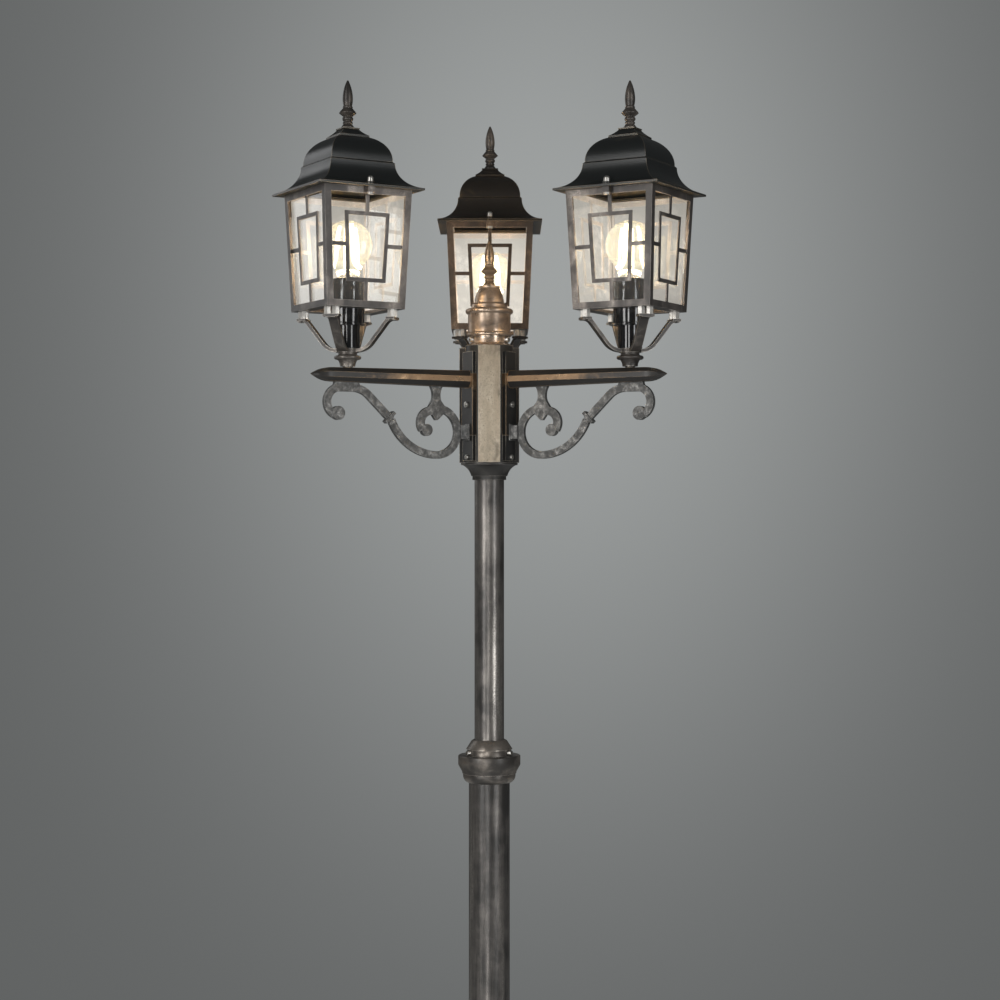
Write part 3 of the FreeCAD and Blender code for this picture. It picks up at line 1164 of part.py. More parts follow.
def pole_nodes():
    return {
        "base_foot": [base_foot()],
        "base_screws": set_screws(FOOT_LIP_D, FOOT_H - FOOT_LIP_H / 2, LOWER_TUBE_D),
        "lower_tube": [lower_tube()],
        "middle_collar": [middle_collar()],
        "collar_screws": set_screws(COLLAR_GROOVE_D, collar_screw_z(), UPPER_TUBE_D),
        "upper_tube": [upper_tube()],
        "hub_socket": [hub_socket()],
        "hub_core": [hub_core()],
        "hub_screws": hub_screws(),
        "terminal_block": [terminal_block()],
        "hub_cap": [hub_cap()],
        "hub_finial": [finial(cap_levels()[-1])],
        "arm_screws": arm_screws(),
    }


def arm_nodes():
    arm_shape = arm()
    scroll_shape = scroll()
    clip_shape = scroll_clip(scroll_shape)
    nodes = {}
    for side, bearing in ARM_BEARINGS.items():
        nodes["arm_" + side] = [turned_to(arm_shape, bearing)]
        nodes["scroll_" + side] = [turned_to(scroll_shape, bearing)]
        nodes["scroll_clip_" + side] = [turned_to(clip_shape, bearing)]
    return nodes


def lantern_nodes():
    """Ten nodes for each lantern, and one shared node for each kind of fastener."""
    own = {
        "cradle": [cradle()],
        "lamp_holder": [lamp_holder()],
        "body_frame": [body_frame()],
        "pane_lattice": pane_lattices(),
        "glass_panes": glass_panes(),
        "roof": [roof()],
        "roof_finial": [finial(roof_levels()[-1])],
        "roof_nuts": roof_nuts(),
        "bulb_glass": [bulb_glass()],
        "bulb_cap": [bulb_cap()],
    }
    shared = {
        "lamp_nipples": [lamp_nipple()],
        "roof_studs": roof_studs(),
        "cradle_standoffs": cradle_standoffs(),
    }
    nodes = {}
    for side in ARM_BEARINGS:
        for name, shapes in own.items():
            nodes[name + "_" + side] = placed(shapes, side)
        for name, shapes in shared.items():
            nodes.setdefault(name, []).extend(placed(shapes, side))
    return nodes


def main():
    os.makedirs("parts", exist_ok=True)
    nodes = {**pole_nodes(), **arm_nodes(), **lantern_nodes()}
    for name, shapes in nodes.items():
        shape = shapes[0] if len(shapes) == 1 else Part.makeCompound(shapes)
        shape.exportStep("parts/" + name + ".step")
        print(name, len(shape.Solids), "valid" if shape.isValid() else "INVALID")


main()
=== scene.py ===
"""Studio scene of a garden lamp post: three square glazed lanterns on scrolled arms.

Castings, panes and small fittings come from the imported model, most with softened edges.
Turned pieces, tubes, lamps, nuts and screw heads are modelled here.
"""
import logging
from dataclasses import dataclass, replace
from enum import Enum
from functools import cache
from math import atan2, cos, radians, sin, tau

import bmesh
import bpy
from mathutils import Matrix, Vector


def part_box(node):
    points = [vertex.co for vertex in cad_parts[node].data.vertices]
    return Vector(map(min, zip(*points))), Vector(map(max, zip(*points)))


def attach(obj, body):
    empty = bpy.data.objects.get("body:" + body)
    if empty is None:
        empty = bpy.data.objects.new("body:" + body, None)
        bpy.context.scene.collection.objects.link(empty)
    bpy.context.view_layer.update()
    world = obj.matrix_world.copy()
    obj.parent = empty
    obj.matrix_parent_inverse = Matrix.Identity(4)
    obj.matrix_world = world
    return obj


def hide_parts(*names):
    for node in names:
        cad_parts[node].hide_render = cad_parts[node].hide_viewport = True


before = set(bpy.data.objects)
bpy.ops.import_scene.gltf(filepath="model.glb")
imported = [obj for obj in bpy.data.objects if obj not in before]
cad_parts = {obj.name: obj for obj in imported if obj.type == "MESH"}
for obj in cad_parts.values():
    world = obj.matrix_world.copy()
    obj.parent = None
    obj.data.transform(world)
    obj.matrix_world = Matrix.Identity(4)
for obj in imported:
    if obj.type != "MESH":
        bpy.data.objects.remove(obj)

LOG = logging.getLogger("lamp_post")
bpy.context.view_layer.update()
MM = 0.001
Triple = tuple[float, float, float]
Colour = Triple
Point = tuple[float, float]
Mesh = bmesh.types.BMesh
Socket, Node, Tree = bpy.types.NodeSocket, bpy.types.Node, bpy.types.NodeTree
BLACK = (0.0, 0.0, 0.0)
AXIS = Matrix.Scale(MM, 4)
POST = "post"


class Side(Enum):
    """The three arms, by the bearing that each points along, in degrees."""

    LEFT = 210.0
    RIGHT = 330.0
    REAR = 90.0

    @property
    def label(self) -> str:
        """Name of the arm as the nodes of the model spell it."""
        return self.name.lower()


class Zone(Enum):
    """The faces of a casting that get most of the rubbed colour. On the arms this is partly a painted
    reflection of the lamps' warm light, and under the roofs partly painted lamp light.
    """

    ALL = "all"
    UPRIGHT_LAMP_SHEEN = "upright_lamp_sheen"
    BELOW = "below"
    BETWEEN_ARMS = "between_arms"


@dataclass(frozen=True)
class Layout:
    """Places that the sub-assemblies share, in millimetres."""

    reach: float = 199.4
    arm: float = 1690.0
    beam_low: float = 1674.0
    hub_bottom: float = 1585.0
    hub_top: float = 1733.0
    first_pilaster: float = 30.0
    quarter_turn: float = 90.0

    @property
    def eave(self) -> float:
        """Height of the plane that the roofs rest on."""
        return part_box("roof_left")[0].z / MM

    def lantern(self, side: Side) -> Matrix:
        """Place of a lantern's own axis and eave plane.

        Args:
            side: The arm that carries the lantern.

        Returns:
            The transform from lantern millimetres to metres in the frame.
        """
        own_turn = self.quarter_turn if side is Side.REAR else 0.0
        return (Matrix.Rotation(radians(side.value), 4, "Z")
                @ Matrix.Translation((self.reach * MM, 0, self.eave * MM))
                @ Matrix.Rotation(radians(own_turn), 4, "Z") @ AXIS)


PLAN = Layout()


# ---- wiring of shader nodes
@dataclass
class Wiring:
    """Adds nodes to one tree of a material, a world or a group, and joins them."""

    tree: Tree

    def add(self, kind: str, **values) -> Node:
        """Adds one node.

        Args:
            kind: The node's type name after "ShaderNode".
            **values: Its properties and inputs, as fill takes them.

        Returns:
            The new node.
        """
        node = self.tree.nodes.new(f"ShaderNode{kind}")
        self.fill(node, **values)
        return node

    def fill(self, node: Node, **values) -> None:
        """Sets a node's properties and feeds its inputs by name.

        Args:
            node: The node.
            **values: A name in small letters is a property. Any other is an input, with _ for
                a space in its name.
        """
        for name, value in values.items():
            if name.islower():
                setattr(node, name, value)
            else:
                self.feed(node.inputs[name.replace("_", " ")], value)

    def numbered(self, node: Node, values: dict) -> Node:
        """Feeds a node's inputs by number, and returns the node."""
        for number, value in values.items():
            self.feed(node.inputs[number], value)
        return node

    def feed(self, socket: Socket, value) -> None:
        """Joins a socket to another, or gives it a plain value or an opaque colour."""
        if isinstance(value, Socket):
            self.tree.links.new(value, socket)
        else:
            socket.default_value = (*value, 1.0) if socket.type == "RGBA" else value

    def maths(self, operation: str, first, second=0.0, clamp: bool = False) -> Socket:
        """One Math node.

        Args:
            operation: The sum to do.
            first: Value or socket.
            second: Value or socket.
            clamp: Whether the result is held between 0 and 1.

        Returns:
            The result's socket.
        """
        node = self.add("Math", operation=operation, use_clamp=clamp)
        return self.numbered(node, {0: first, 1: second}).outputs[0]

    def times(self, first, second) -> Socket:
        """Product of two values."""
        return self.maths("MULTIPLY", first, second)

    def rest(self, value) -> Socket:
        """What a value leaves of 1."""
        return self.maths("SUBTRACT", 1.0, value)

    def vector(self, operation: str, first, second=BLACK, out: int = 0) -> Socket:
        """One Vector Math node, and the socket of its result: 0 for a vector, 1 for a value."""
        node = self.add("VectorMath", operation=operation)
        return self.numbered(node, {0: first, 1: second}).outputs[out]

    def bump(self, strength: float, depth: float, height) -> Socket:
        """Normal of a surface with a fine relief, its depth in metres."""
        return self.add("Bump", Strength=strength, Distance=depth, Height=height).outputs[0]

    def blend(self, share, first, second, mode: str = "MIX") -> Socket:
        """Mixes two colours.

        Args:
            share: Value or socket, 0 for the first colour.
            first: Colour or socket.
            second: Colour or socket.
            mode: Blend mode of the Mix node.

        Returns:
            The mixed colour's socket.
        """
        node = self.add("Mix", data_type="RGBA", blend_type=mode)
        return self.numbered(node, {0: share, 6: first, 7: second}).outputs[2]

    def rise(self, value, low: float, high: float) -> Socket:
        """Smooth step of a value between two limits, given as 0 to 1."""
        return self.add("MapRange", interpolation_type="SMOOTHSTEP", Value=value, From_Min=low,
                        From_Max=high).outputs[0]

    def noise(self, vector, scale, detail: float = 4.0, rough: float = 0.55) -> Socket:
        """Fractal noise over a vector.

        Args:
            vector: Socket of the coordinates.
            scale: Waves per metre, as a value or a socket.
            detail: Number of octaves.
            rough: Strength of the finer octaves.

        Returns:
            The socket of a value about 0.5.
        """
        return self.add("TexNoise", Vector=vector, Scale=scale, Detail=detail, Roughness=rough).outputs[0]


def group_tree(name: str, inputs: dict[str, tuple], outputs: dict[str, tuple]) -> Tree:
    """Empty shader group with named sockets.

    Args:
        name: The group's name.
        inputs: Names of the inputs of each kind.
        outputs: Names of the outputs of each kind.

    Returns:
        The new tree, with its input and output nodes placed.
    """
    tree = bpy.data.node_groups.new(name, "ShaderNodeTree")
    for way, sockets in (("Input", inputs), ("Output", outputs)):
        for kind, labels in sockets.items():
            for label in labels:
                tree.interface.new_socket(label, in_out=way.upper(), socket_type=f"NodeSocket{kind}")
        tree.nodes.new(f"NodeGroup{way}")
    return tree


@dataclass(frozen=True)
class Rubbing:
    """Dark paint with metal colour rubbed on by hand, thicker along edges. Its brightest tone, on stroke
    peaks, specks and worn edges, is partly polished metal and partly a painted highlight.
    """

    soot: Colour = (0.012, 0.011, 0.010)
    soot_share: float = 0.22
    stroke_share: float = 0.62
    bare_start: float = 0.74
    cover_pull: float = 0.42
    edge_polish_and_sheen: float = 0.75
    uneven: float = 0.22
    paint_metallic: float = 0.3
    rub_metallic: float = 0.62
    relief: Triple = (0.35, 0.5, 0.25)

    @cache
    def group(self) -> Tree:
        """The shared shader group, built once."""
        tree = group_tree(
            "hand_rubbed",
            {"Vector": ("Place", "Stretch"), "Color": ("Ground", "Rub", "Bright"),
             "Float": ("Cover", "Wander", "Edge", "Edge Width", "Paint Roughness", "Metal Roughness")},
            {"Color": ("Color",), "Float": ("Roughness", "Metallic", "Height")})
        w, given = Wiring(tree), tree.nodes["Group Input"].outputs
        place = given["Place"]
        sway = w.times(w.maths("SUBTRACT", w.noise(place, 35.0, 2.0), 0.5), given["Wander"])
        bent = w.vector("ADD", w.vector("MULTIPLY", place, given["Stretch"]), sway)
        strokes = w.noise(bent, 7.0, 6.0, 0.62)
        patches = w.noise(place, 24.0, 5.0, 0.6)
        specks = w.noise(place, 760.0, 3.0, 0.6)
        face = w.add("NewGeometry").outputs["Normal"]
        bevel = w.add("Bevel", samples=6, Radius=given["Edge Width"]).outputs[0]
        edge = w.rise(w.rest(w.vector("DOT_PRODUCT", bevel, face, 1)), 0.012, 0.16)
        ragged = w.times(edge, w.rise(patches, 0.3, 0.62))
        worn = w.maths("MULTIPLY", ragged, given["Edge"], clamp=True)
        hand = w.maths("ADD", w.times(strokes, self.stroke_share), w.times(patches, 1 - self.stroke_share))
        start = w.maths("SUBTRACT", self.bare_start, w.times(given["Cover"], self.cover_pull))
        rub = w.rise(w.maths("SUBTRACT", hand, start), -0.09, 0.17)
        rub = w.times(rub, w.rise(specks, 0.16, 0.44))
        metal = w.maths("MAXIMUM", rub, worn)
        # painted highlight: the bright tone on stroke peaks and specks, and on worn edges, is partly
        # polished metal and partly a highlight painted in
        polish_and_sheen = w.times(w.rise(strokes, 0.5, 0.74), w.rise(specks, 0.38, 0.62))
        polish_and_sheen = w.maths("MAXIMUM", w.times(polish_and_sheen, rub), w.times(worn, self.edge_polish_and_sheen))
        tint = w.blend(polish_and_sheen, w.blend(metal, given["Ground"], given["Rub"]), given["Bright"])
        tint = w.blend(w.times(w.rise(specks, 0.55, 0.8), self.soot_share), tint, self.soot)
        rough = w.numbered(w.add("Mix", data_type="FLOAT"),
                           {0: metal, 2: given["Paint Roughness"], 3: given["Metal Roughness"]})
        uneven = w.times(w.maths("SUBTRACT", patches, 0.5), self.uneven)
        fine, long, high = map(w.times, (specks, strokes, metal), self.relief)
        w.fill(tree.nodes["Group Output"], Color=tint,
               Roughness=w.maths("ADD", rough.outputs[0], uneven, clamp=True),
               Metallic=w.maths("ADD", w.times(metal, self.rub_metallic), self.paint_metallic),
               Height=w.maths("ADD", fine, w.maths("ADD", long, high)))
        return tree


@cache
def dust_group() -> Tree:
    """Faint unevenness of a smooth surface, as a mask, a roughness and a height."""
    tree = group_tree("faint_dust", {"Vector": ("Place",), "Float": ("Grain", "Base", "Spread")},
                      {"Float": ("Mask", "Roughness", "Height")})
    w, given = Wiring(tree), tree.nodes["Group Input"].outputs
    fine = w.noise(given["Place"], given["Grain"], 5.0, 0.6)
    cloud = w.noise(given["Place"], 18.0, 3.0)
    mask = w.times(w.rise(fine, 0.42, 0.72), w.rise(cloud, 0.35, 0.7))
    rough = w.maths("ADD", given["Base"], w.times(mask, given["Spread"]), clamp=True)
    w.fill(tree.nodes["Group Output"], Mask=mask, Roughness=rough, Height=fine)
    return tree


# ---- finishes
@dataclass(frozen=True)
class Finish:
    """A finish and the slot that it belongs to."""

    name: str
    slot: str

    @cache
    def material(self) -> bpy.types.Material:
        """The finish as a material of its name, built once."""
        material = bpy.data.materials.new(self.name)
        material.use_nodes = True
        w = Wiring(material.node_tree)
        place = w.add("TexCoord").outputs["Object"]
        self.wire(w, material.node_tree.nodes["Principled BSDF"], place)
        return material

    def wire(self, w: Wiring, shader: Node, place: Socket) -> None:
        """Feeds the shader, in each kind of finish its own way.

        Args:
            w: The material's wiring.
            shader: Its principled shader.
            place: Socket of the object coordinates.
        """
        raise NotImplementedError


@dataclass(frozen=True)
class Patina(Finish):
    """Antique paint on a casting: dark ground, rubbed metal colour and bright spots that are partly
    polished metal and partly a painted highlight.
    """

    ground: Colour
    rub: Colour
    # bright: partly polished metal, partly a painted highlight
    bright: Colour
    cover: float = 0.5
    edge: float = 1.0
    edge_mm: float = 1.3
    stretch: Triple = (1.0, 1.0, 1.0)
    turn: float = 0.0
    wander: float = 0.12
    zone: Zone = Zone.ALL
    elsewhere: float = 0.12
    # how the arms' painted lamp reflection fades out from the hub, in metres
    fade: Point = (0.09, 0.22)
    paint_rough: float = 0.42
    metal_rough: float = 0.34
    bump: float = 0.25
    bump_depth: float = 0.0006
    coat: float = 0.15
    coat_rough: float = 0.28

    def wire(self, w: Wiring, shader: Node, place: Socket) -> None:
        """Feeds in the rubbed pattern, stretched along the finish's own direction."""
        turned = w.add("Mapping", Vector=place, Rotation=(0.0, 0.0, -radians(self.turn)))
        rubbed = w.add("Group", node_tree=Rubbing().group(), Place=turned.outputs[0], Stretch=self.stretch,
                       Ground=self.ground, Rub=self.rub, Bright=self.bright, Cover=self.covered(w, place),
                       Wander=self.wander, Edge=self.edge, Edge_Width=self.edge_mm * MM,
                       Paint_Roughness=self.paint_rough, Metal_Roughness=self.metal_rough).outputs
        w.fill(shader, Base_Color=rubbed["Color"], Roughness=rubbed["Roughness"],
               Metallic=rubbed["Metallic"], Coat_Weight=self.coat, Coat_Roughness=self.coat_rough,
               Normal=w.bump(self.bump, self.bump_depth, rubbed["Height"]))

    def covered(self, w: Wiring, place: Socket):
        """How much rubbed colour a face gets: one value, or a map by the way that each face looks. The
        arms' map is partly a painted lamp reflection, and the roofs' partly painted lamp light.

        Args:
            w: The material's wiring.
            place: Socket of the object coordinates.

        Returns:
            A value, or the socket of one.
        """
        if self.zone is Zone.ALL:
            return self.cover
        normal = w.add("NewGeometry").outputs["Normal"]
        if self.zone is Zone.UPRIGHT_LAMP_SHEEN:
            # painted lamp reflection: upright faces at the arm's height get the gold, fading out from the
            # hub; partly rubbed finish
            out = w.vector("LENGTH", w.vector("MULTIPLY", place, (1.0, 1.0, 0.0)), out=1)
            height = w.add("SeparateXYZ", Vector=place).outputs[2]
            beam = w.rise(height, PLAN.beam_low * MM, PLAN.arm * MM)
            near = w.times(w.rest(w.rise(out, *self.fade)), beam)
            level = w.maths("ABSOLUTE", w.add("SeparateXYZ", Vector=normal).outputs[2])
            share = w.times(w.rest(w.rise(level, 0.3, 0.62)), near)
        elif self.zone is Zone.BELOW:
            # painted lamp light: downward faces, lit from inside by the lamp, get more bronze than the rest
            share = w.rise(w.vector("DOT_PRODUCT", normal, (0.0, 0.0, -1.0), 1), 0.3, 0.8)
        else:
            bearing = radians(PLAN.first_pilaster)
            c = w.vector("DOT_PRODUCT", normal, (cos(bearing), sin(bearing), 0.0), 1)
            # cos 3a = cos a (4 cos a cos a - 3), which is 1 on each of the three faces
            triple = w.times(c, w.maths("SUBTRACT", w.times(w.times(c, c), 4.0), 3.0))
            share = w.rise(triple, 0.0, 0.9)
        return w.maths("ADD", w.times(share, self.cover - self.elsewhere), self.elsewhere)

    def along(self, side: Side) -> "Patina":
        """The same finish with its strokes turned to run along one arm."""
        return replace(self, name=f"{self.name}_{side.label}", turn=side.value)


@dataclass(frozen=True)
class Plain(Finish):
    """One smooth stuff, such as moulded plastic or plated steel, with a faint unevenness."""

    colour: Colour
    shade: Colour
    metallic: float = 0.0
    rough: float = 0.3
    spread: float = 0.2
    grain: float = 260.0
    bump: float = 0.05
    coat: float = 0.0
    coat_rough: float = 0.06
    bump_depth: float = 0.0004

    def wire(self, w: Wiring, shader: Node, place: Socket) -> None:
        """Feeds in two close tones and a fine grain."""
        dust = w.add("Group", node_tree=dust_group(), Place=place, Grain=self.grain,
                     Base=self.rough, Spread=self.spread).outputs
        w.fill(shader, Base_Color=w.blend(dust["Mask"], self.colour, self.shade),
               Roughness=dust["Roughness"], Metallic=self.metallic, Coat_Weight=self.coat,
               Coat_Roughness=self.coat_rough, Normal=w.bump(self.bump, self.bump_depth, dust["Height"]))


@dataclass(frozen=True)
class LitGlass(Finish):
    """Clear glass that catches a little of the lamp's light, more near the lamp.

    A one-sided glass glows only where its inner face, which the lamp lights, is seen.
    """

    tint: Colour
    glow: Colour
    centre: Triple
    reach: float
    strength: float
    one_sided: bool = False
    smear_grain: float = 70.0
    smear_rough: float = 0.03
    clean_glow: float = 0.85
    smear_glow: float = 0.5
    refraction: float = 1.46

    def wire(self, w: Wiring, shader: Node, place: Socket) -> None:
        """Feeds in a plain Transmission Weight and a glow that fades with distance."""
        offset = w.vector("SUBTRACT", place, self.centre)
        fade = w.rest(w.rise(w.vector("LENGTH", offset, out=1), 0.0, self.reach))
        smears = w.add("Group", node_tree=dust_group(), Place=place,
                       Grain=self.smear_grain, Base=0.0, Spread=self.smear_rough).outputs
        lit = w.times(fade, w.maths("ADD", self.clean_glow, w.times(smears["Mask"], self.smear_glow)))
        if self.one_sided:
            face = w.add("NewGeometry").outputs
            towards = w.vector("DOT_PRODUCT", face["True Normal"], w.vector("NORMALIZE", offset), 1)
            lit = w.times(w.times(lit, w.rise(towards, 0.0, -0.25)), w.rest(face["Backfacing"]))
        w.fill(shader, Base_Color=self.tint, Roughness=smears["Roughness"], IOR=self.refraction,
               Transmission_Weight=1.0, Emission_Color=w.blend(lit, BLACK, self.glow),
               Emission_Strength=self.strength, Normal=w.bump(0.02, 0.0005, smears["Height"]))


@dataclass(frozen=True)
class Glowing(Finish):
    """A lit filament, or the haze of light round it."""

    colour: Colour
    core: Colour
    strength: float
    alpha: float = 1.0
    fade: float = 1.6
    ember: Colour = (0.02, 0.015, 0.01)

    def wire(self, w: Wiring, shader: Node, place: Socket) -> None:
        """Feeds in the light, and a haze's soft outline seen from outside only."""
        pulse = w.rise(w.noise(place, 160.0, 2.0), 0.35, 0.65)
        w.fill(shader, Emission_Color=w.blend(pulse, self.colour, self.core),
               Emission_Strength=self.strength, Base_Color=w.blend(pulse, BLACK, self.ember),
               Roughness=0.6, Specular_IOR_Level=0.0)
        if self.alpha < 1.0:
            rim = w.add("LayerWeight", Blend=0.5).outputs["Facing"]
            heart = w.maths("POWER", w.maths("SUBTRACT", 1.0, rim, True), self.fade)
            front = w.rest(w.add("NewGeometry").outputs["Backfacing"])
            w.fill(shader, Alpha=w.times(w.times(heart, front), self.alpha))


ANTIQUE = Patina(
    "antique_casting", "antique_black", (0.03, 0.028, 0.026), (0.22, 0.2, 0.175), (0.6, 0.56, 0.49),
    cover=0.42, edge=0.9, stretch=(1.2, 1.2, 1.0))
TUBE = Patina(
    "antique_tube", "antique_black", (0.036, 0.034, 0.032), (0.25, 0.23, 0.212), (0.62, 0.585, 0.53),
    cover=0.62, edge=0.8,
    stretch=(9.0, 9.0, 0.35), wander=0.05, bump=0.18, paint_rough=0.36, metal_rough=0.3)
COLLAR = Patina(
    "antique_collar", "antique_black", (0.042, 0.038, 0.034), (0.33, 0.29, 0.25), (0.7, 0.64, 0.56),
    cover=0.66, stretch=(2.0, 2.0, 4.0), metal_rough=0.28)
HUB = Patina(
    "antique_hub", "antique_black", (0.03, 0.029, 0.028), (0.6, 0.505, 0.38), (0.9, 0.83, 0.7),
    cover=0.84, edge=0.8,
    stretch=(5.0, 5.0, 0.9), metal_rough=0.38, zone=Zone.BETWEEN_ARMS, elsewhere=0.0)
CAP = Patina(
    "antique_cap", "antique_black", (0.07, 0.053, 0.04), (0.5, 0.385, 0.29), (0.76, 0.65, 0.53),
    cover=0.74, stretch=(2.0, 2.0, 5.0), metal_rough=0.24)
# painted lamp reflection: the arm's gold ridge band, brighter towards the hub, is partly rubbed finish and
# partly the lamps' warm light painted in
ARM = Patina(
    "antique_arm", "antique_black", (0.026, 0.024, 0.022), (0.31, 0.2, 0.115), (0.8, 0.56, 0.34),
    cover=0.92, edge_mm=2.0, stretch=(0.4, 9.0, 5.0), metal_rough=0.28, zone=Zone.UPRIGHT_LAMP_SHEEN, elsewhere=0.1)
CAGE = Patina(
    "antique_cage", "antique_black", (0.054, 0.048, 0.044), (0.265, 0.235, 0.21), (0.56, 0.51, 0.46),
    cover=0.54, edge=0.9, edge_mm=1.0, stretch=(4.0, 4.0, 0.8))
# painted lamp light: a warmer copy of the cage finish for the rear lantern, standing in for the other
# lamps' light on it
CAGE_LAMP_LIT = replace(
    CAGE, name="antique_cage_lamp_lit", ground=(0.046, 0.035, 0.027), rub=(0.22, 0.158, 0.112),
    bright=(0.52, 0.4, 0.29))
WROUGHT = Patina(
    "wrought_grey", "wrought_dark", (0.06, 0.06, 0.058), (0.25, 0.246, 0.236), (0.48, 0.47, 0.45),
    cover=0.56, edge=0.5,
    stretch=(20.0, 20.0, 20.0), paint_rough=0.5, metal_rough=0.42, bump=0.8, coat=0.0)
CRADLE = replace(
    ANTIQUE, name="antique_cradle", slot="wrought_dark", ground=(0.034, 0.03, 0.027),
    rub=(0.2, 0.172, 0.15), cover=0.5)
# painted lamp light: the roof's underside gets more bronze than its top, partly standing in for the lamp's
# warm light on it
ROOF = Patina(
    "roof_satin", "roof_black", (0.014, 0.016, 0.016), (0.16, 0.122, 0.064), (0.34, 0.29, 0.22),
    cover=0.55, edge=0.85, edge_mm=1.4,
    stretch=(1.0, 1.0, 3.0), paint_rough=0.34, metal_rough=0.32, bump=0.18, coat=0.35,
    zone=Zone.BELOW, elsewhere=0.2)
SPIKE = Patina(
    "spike_bronze", "finial_patina", (0.028, 0.025, 0.022), (0.34, 0.285, 0.24),
    (0.86, 0.8, 0.72), edge_mm=0.9, metal_rough=0.17)
# painted lamp light: a brighter, warmer copy of the finial finish for the hub's finial, which the rear
# lantern lights
HUB_SPIKE_LAMP_LIT = replace(
    SPIKE, name="hub_spike_bronze", ground=(0.07, 0.05, 0.034), rub=(0.42, 0.31, 0.21),
    bright=(0.86, 0.7, 0.52), cover=0.75)
# painted lamp light: a warmer copy of the roof finish for the rear lantern, standing in for the other
# lamps' light on it
ROOF_LAMP_LIT = replace(
    ROOF, name="roof_satin_lamp_lit", ground=(0.02, 0.017, 0.014), bright=(0.4, 0.29, 0.18), elsewhere=0.34)
STEEL = Plain("plated_steel", "bright_steel", (0.62, 0.6, 0.56), (0.4, 0.38, 0.35), 1.0, 0.36)
BRASS = Plain("turned_brass", "brass_thread", (0.66, 0.49, 0.22), (0.36, 0.26, 0.12), 1.0, 0.3)
LAMP_CAP = Plain("lamp_cap_metal", "cap_metal", (0.74, 0.66, 0.5), (0.46, 0.4, 0.3), 1.0, 0.26)
HOLDER = Plain(
    "holder_gloss", "holder_black", (0.01, 0.01, 0.011),
    (0.02, 0.02, 0.02), 0.0, 0.1, 0.12, 180.0, 0.02, 0.6)
STRIP = Plain("terminal_ivory", "terminal_plastic", (0.8, 0.78, 0.72), (0.62, 0.6, 0.54), 0.0, 0.45)
FLOOR = Plain("studio_floor", "", (0.62, 0.63, 0.63), (0.56, 0.57, 0.57), 0.0, 0.75, 0.15, 5.0, 0.02)
FILAMENT = Glowing("filament_light", "bulb_glass", (1.0, 0.74, 0.38), (1.0, 0.86, 0.58), 12.0)
HAZE = Glowing("filament_haze", "bulb_glass", (1.0, 0.91, 0.66), (1.0, 0.95, 0.78), 1.05, 0.72, 1.3)


# ---- shapes
def placed(name: str, data: bpy.types.ID) -> bpy.types.Object:
    """New object of the scene that shows some data."""
    obj = bpy.data.objects.new(name, data)
    bpy.context.scene.collection.objects.link(obj)
    return obj


def baked(bm: Mesh, name: str) -> bpy.types.Mesh:
    """Mesh data out of bmesh work, which is freed."""
    mesh = bpy.data.meshes.new(name)
    bm.to_mesh(mesh)
    bm.free()
    return mesh


class Outline:
    """Half section of a turned piece, in millimetres from its axis."""

    def __init__(self, r: float, z: float) -> None:
        """Starts the outline at a radius and a height."""
        self.points: list[Point] = [(r, z)]

    def line(self, *corners: Point) -> "Outline":
        """Straight runs to each corner in turn."""
        self.points.extend(corners)
        return self

    def arc(self, through: Point, end: Point, steps: int = 8) -> "Outline":
        """Arc from the last point.

        Args:
            through: A point on the way.
            end: The arc's last point.
            steps: Number of chords.

        Returns:
            The outline itself.
        """
        a, b, c = (Vector(p) for p in (self.points[-1], through, end))
        aa, bb, cc = (p.length_squared for p in (a, b, c))
        d = 2 * (a.x * (b.y - c.y) + b.x * (c.y - a.y) + c.x * (a.y - b.y))
        x = (aa * (b.y - c.y) + bb * (c.y - a.y) + cc * (a.y - b.y)) / d
        y = (aa * (c.x - b.x) + bb * (a.x - c.x) + cc * (b.x - a.x)) / d
        start, middle, stop = (atan2(p.y - y, p.x - x) for p in (a, b, c))
        sweep = (stop - start) % tau
        if (middle - start) % tau > sweep:
            sweep -= tau
        radius = (a - Vector((x, y))).length
        for k in range(1, steps + 1):
            angle = start + sweep * k / steps
            self.points.append((x + radius * cos(angle), y + radius * sin(angle)))
        return self


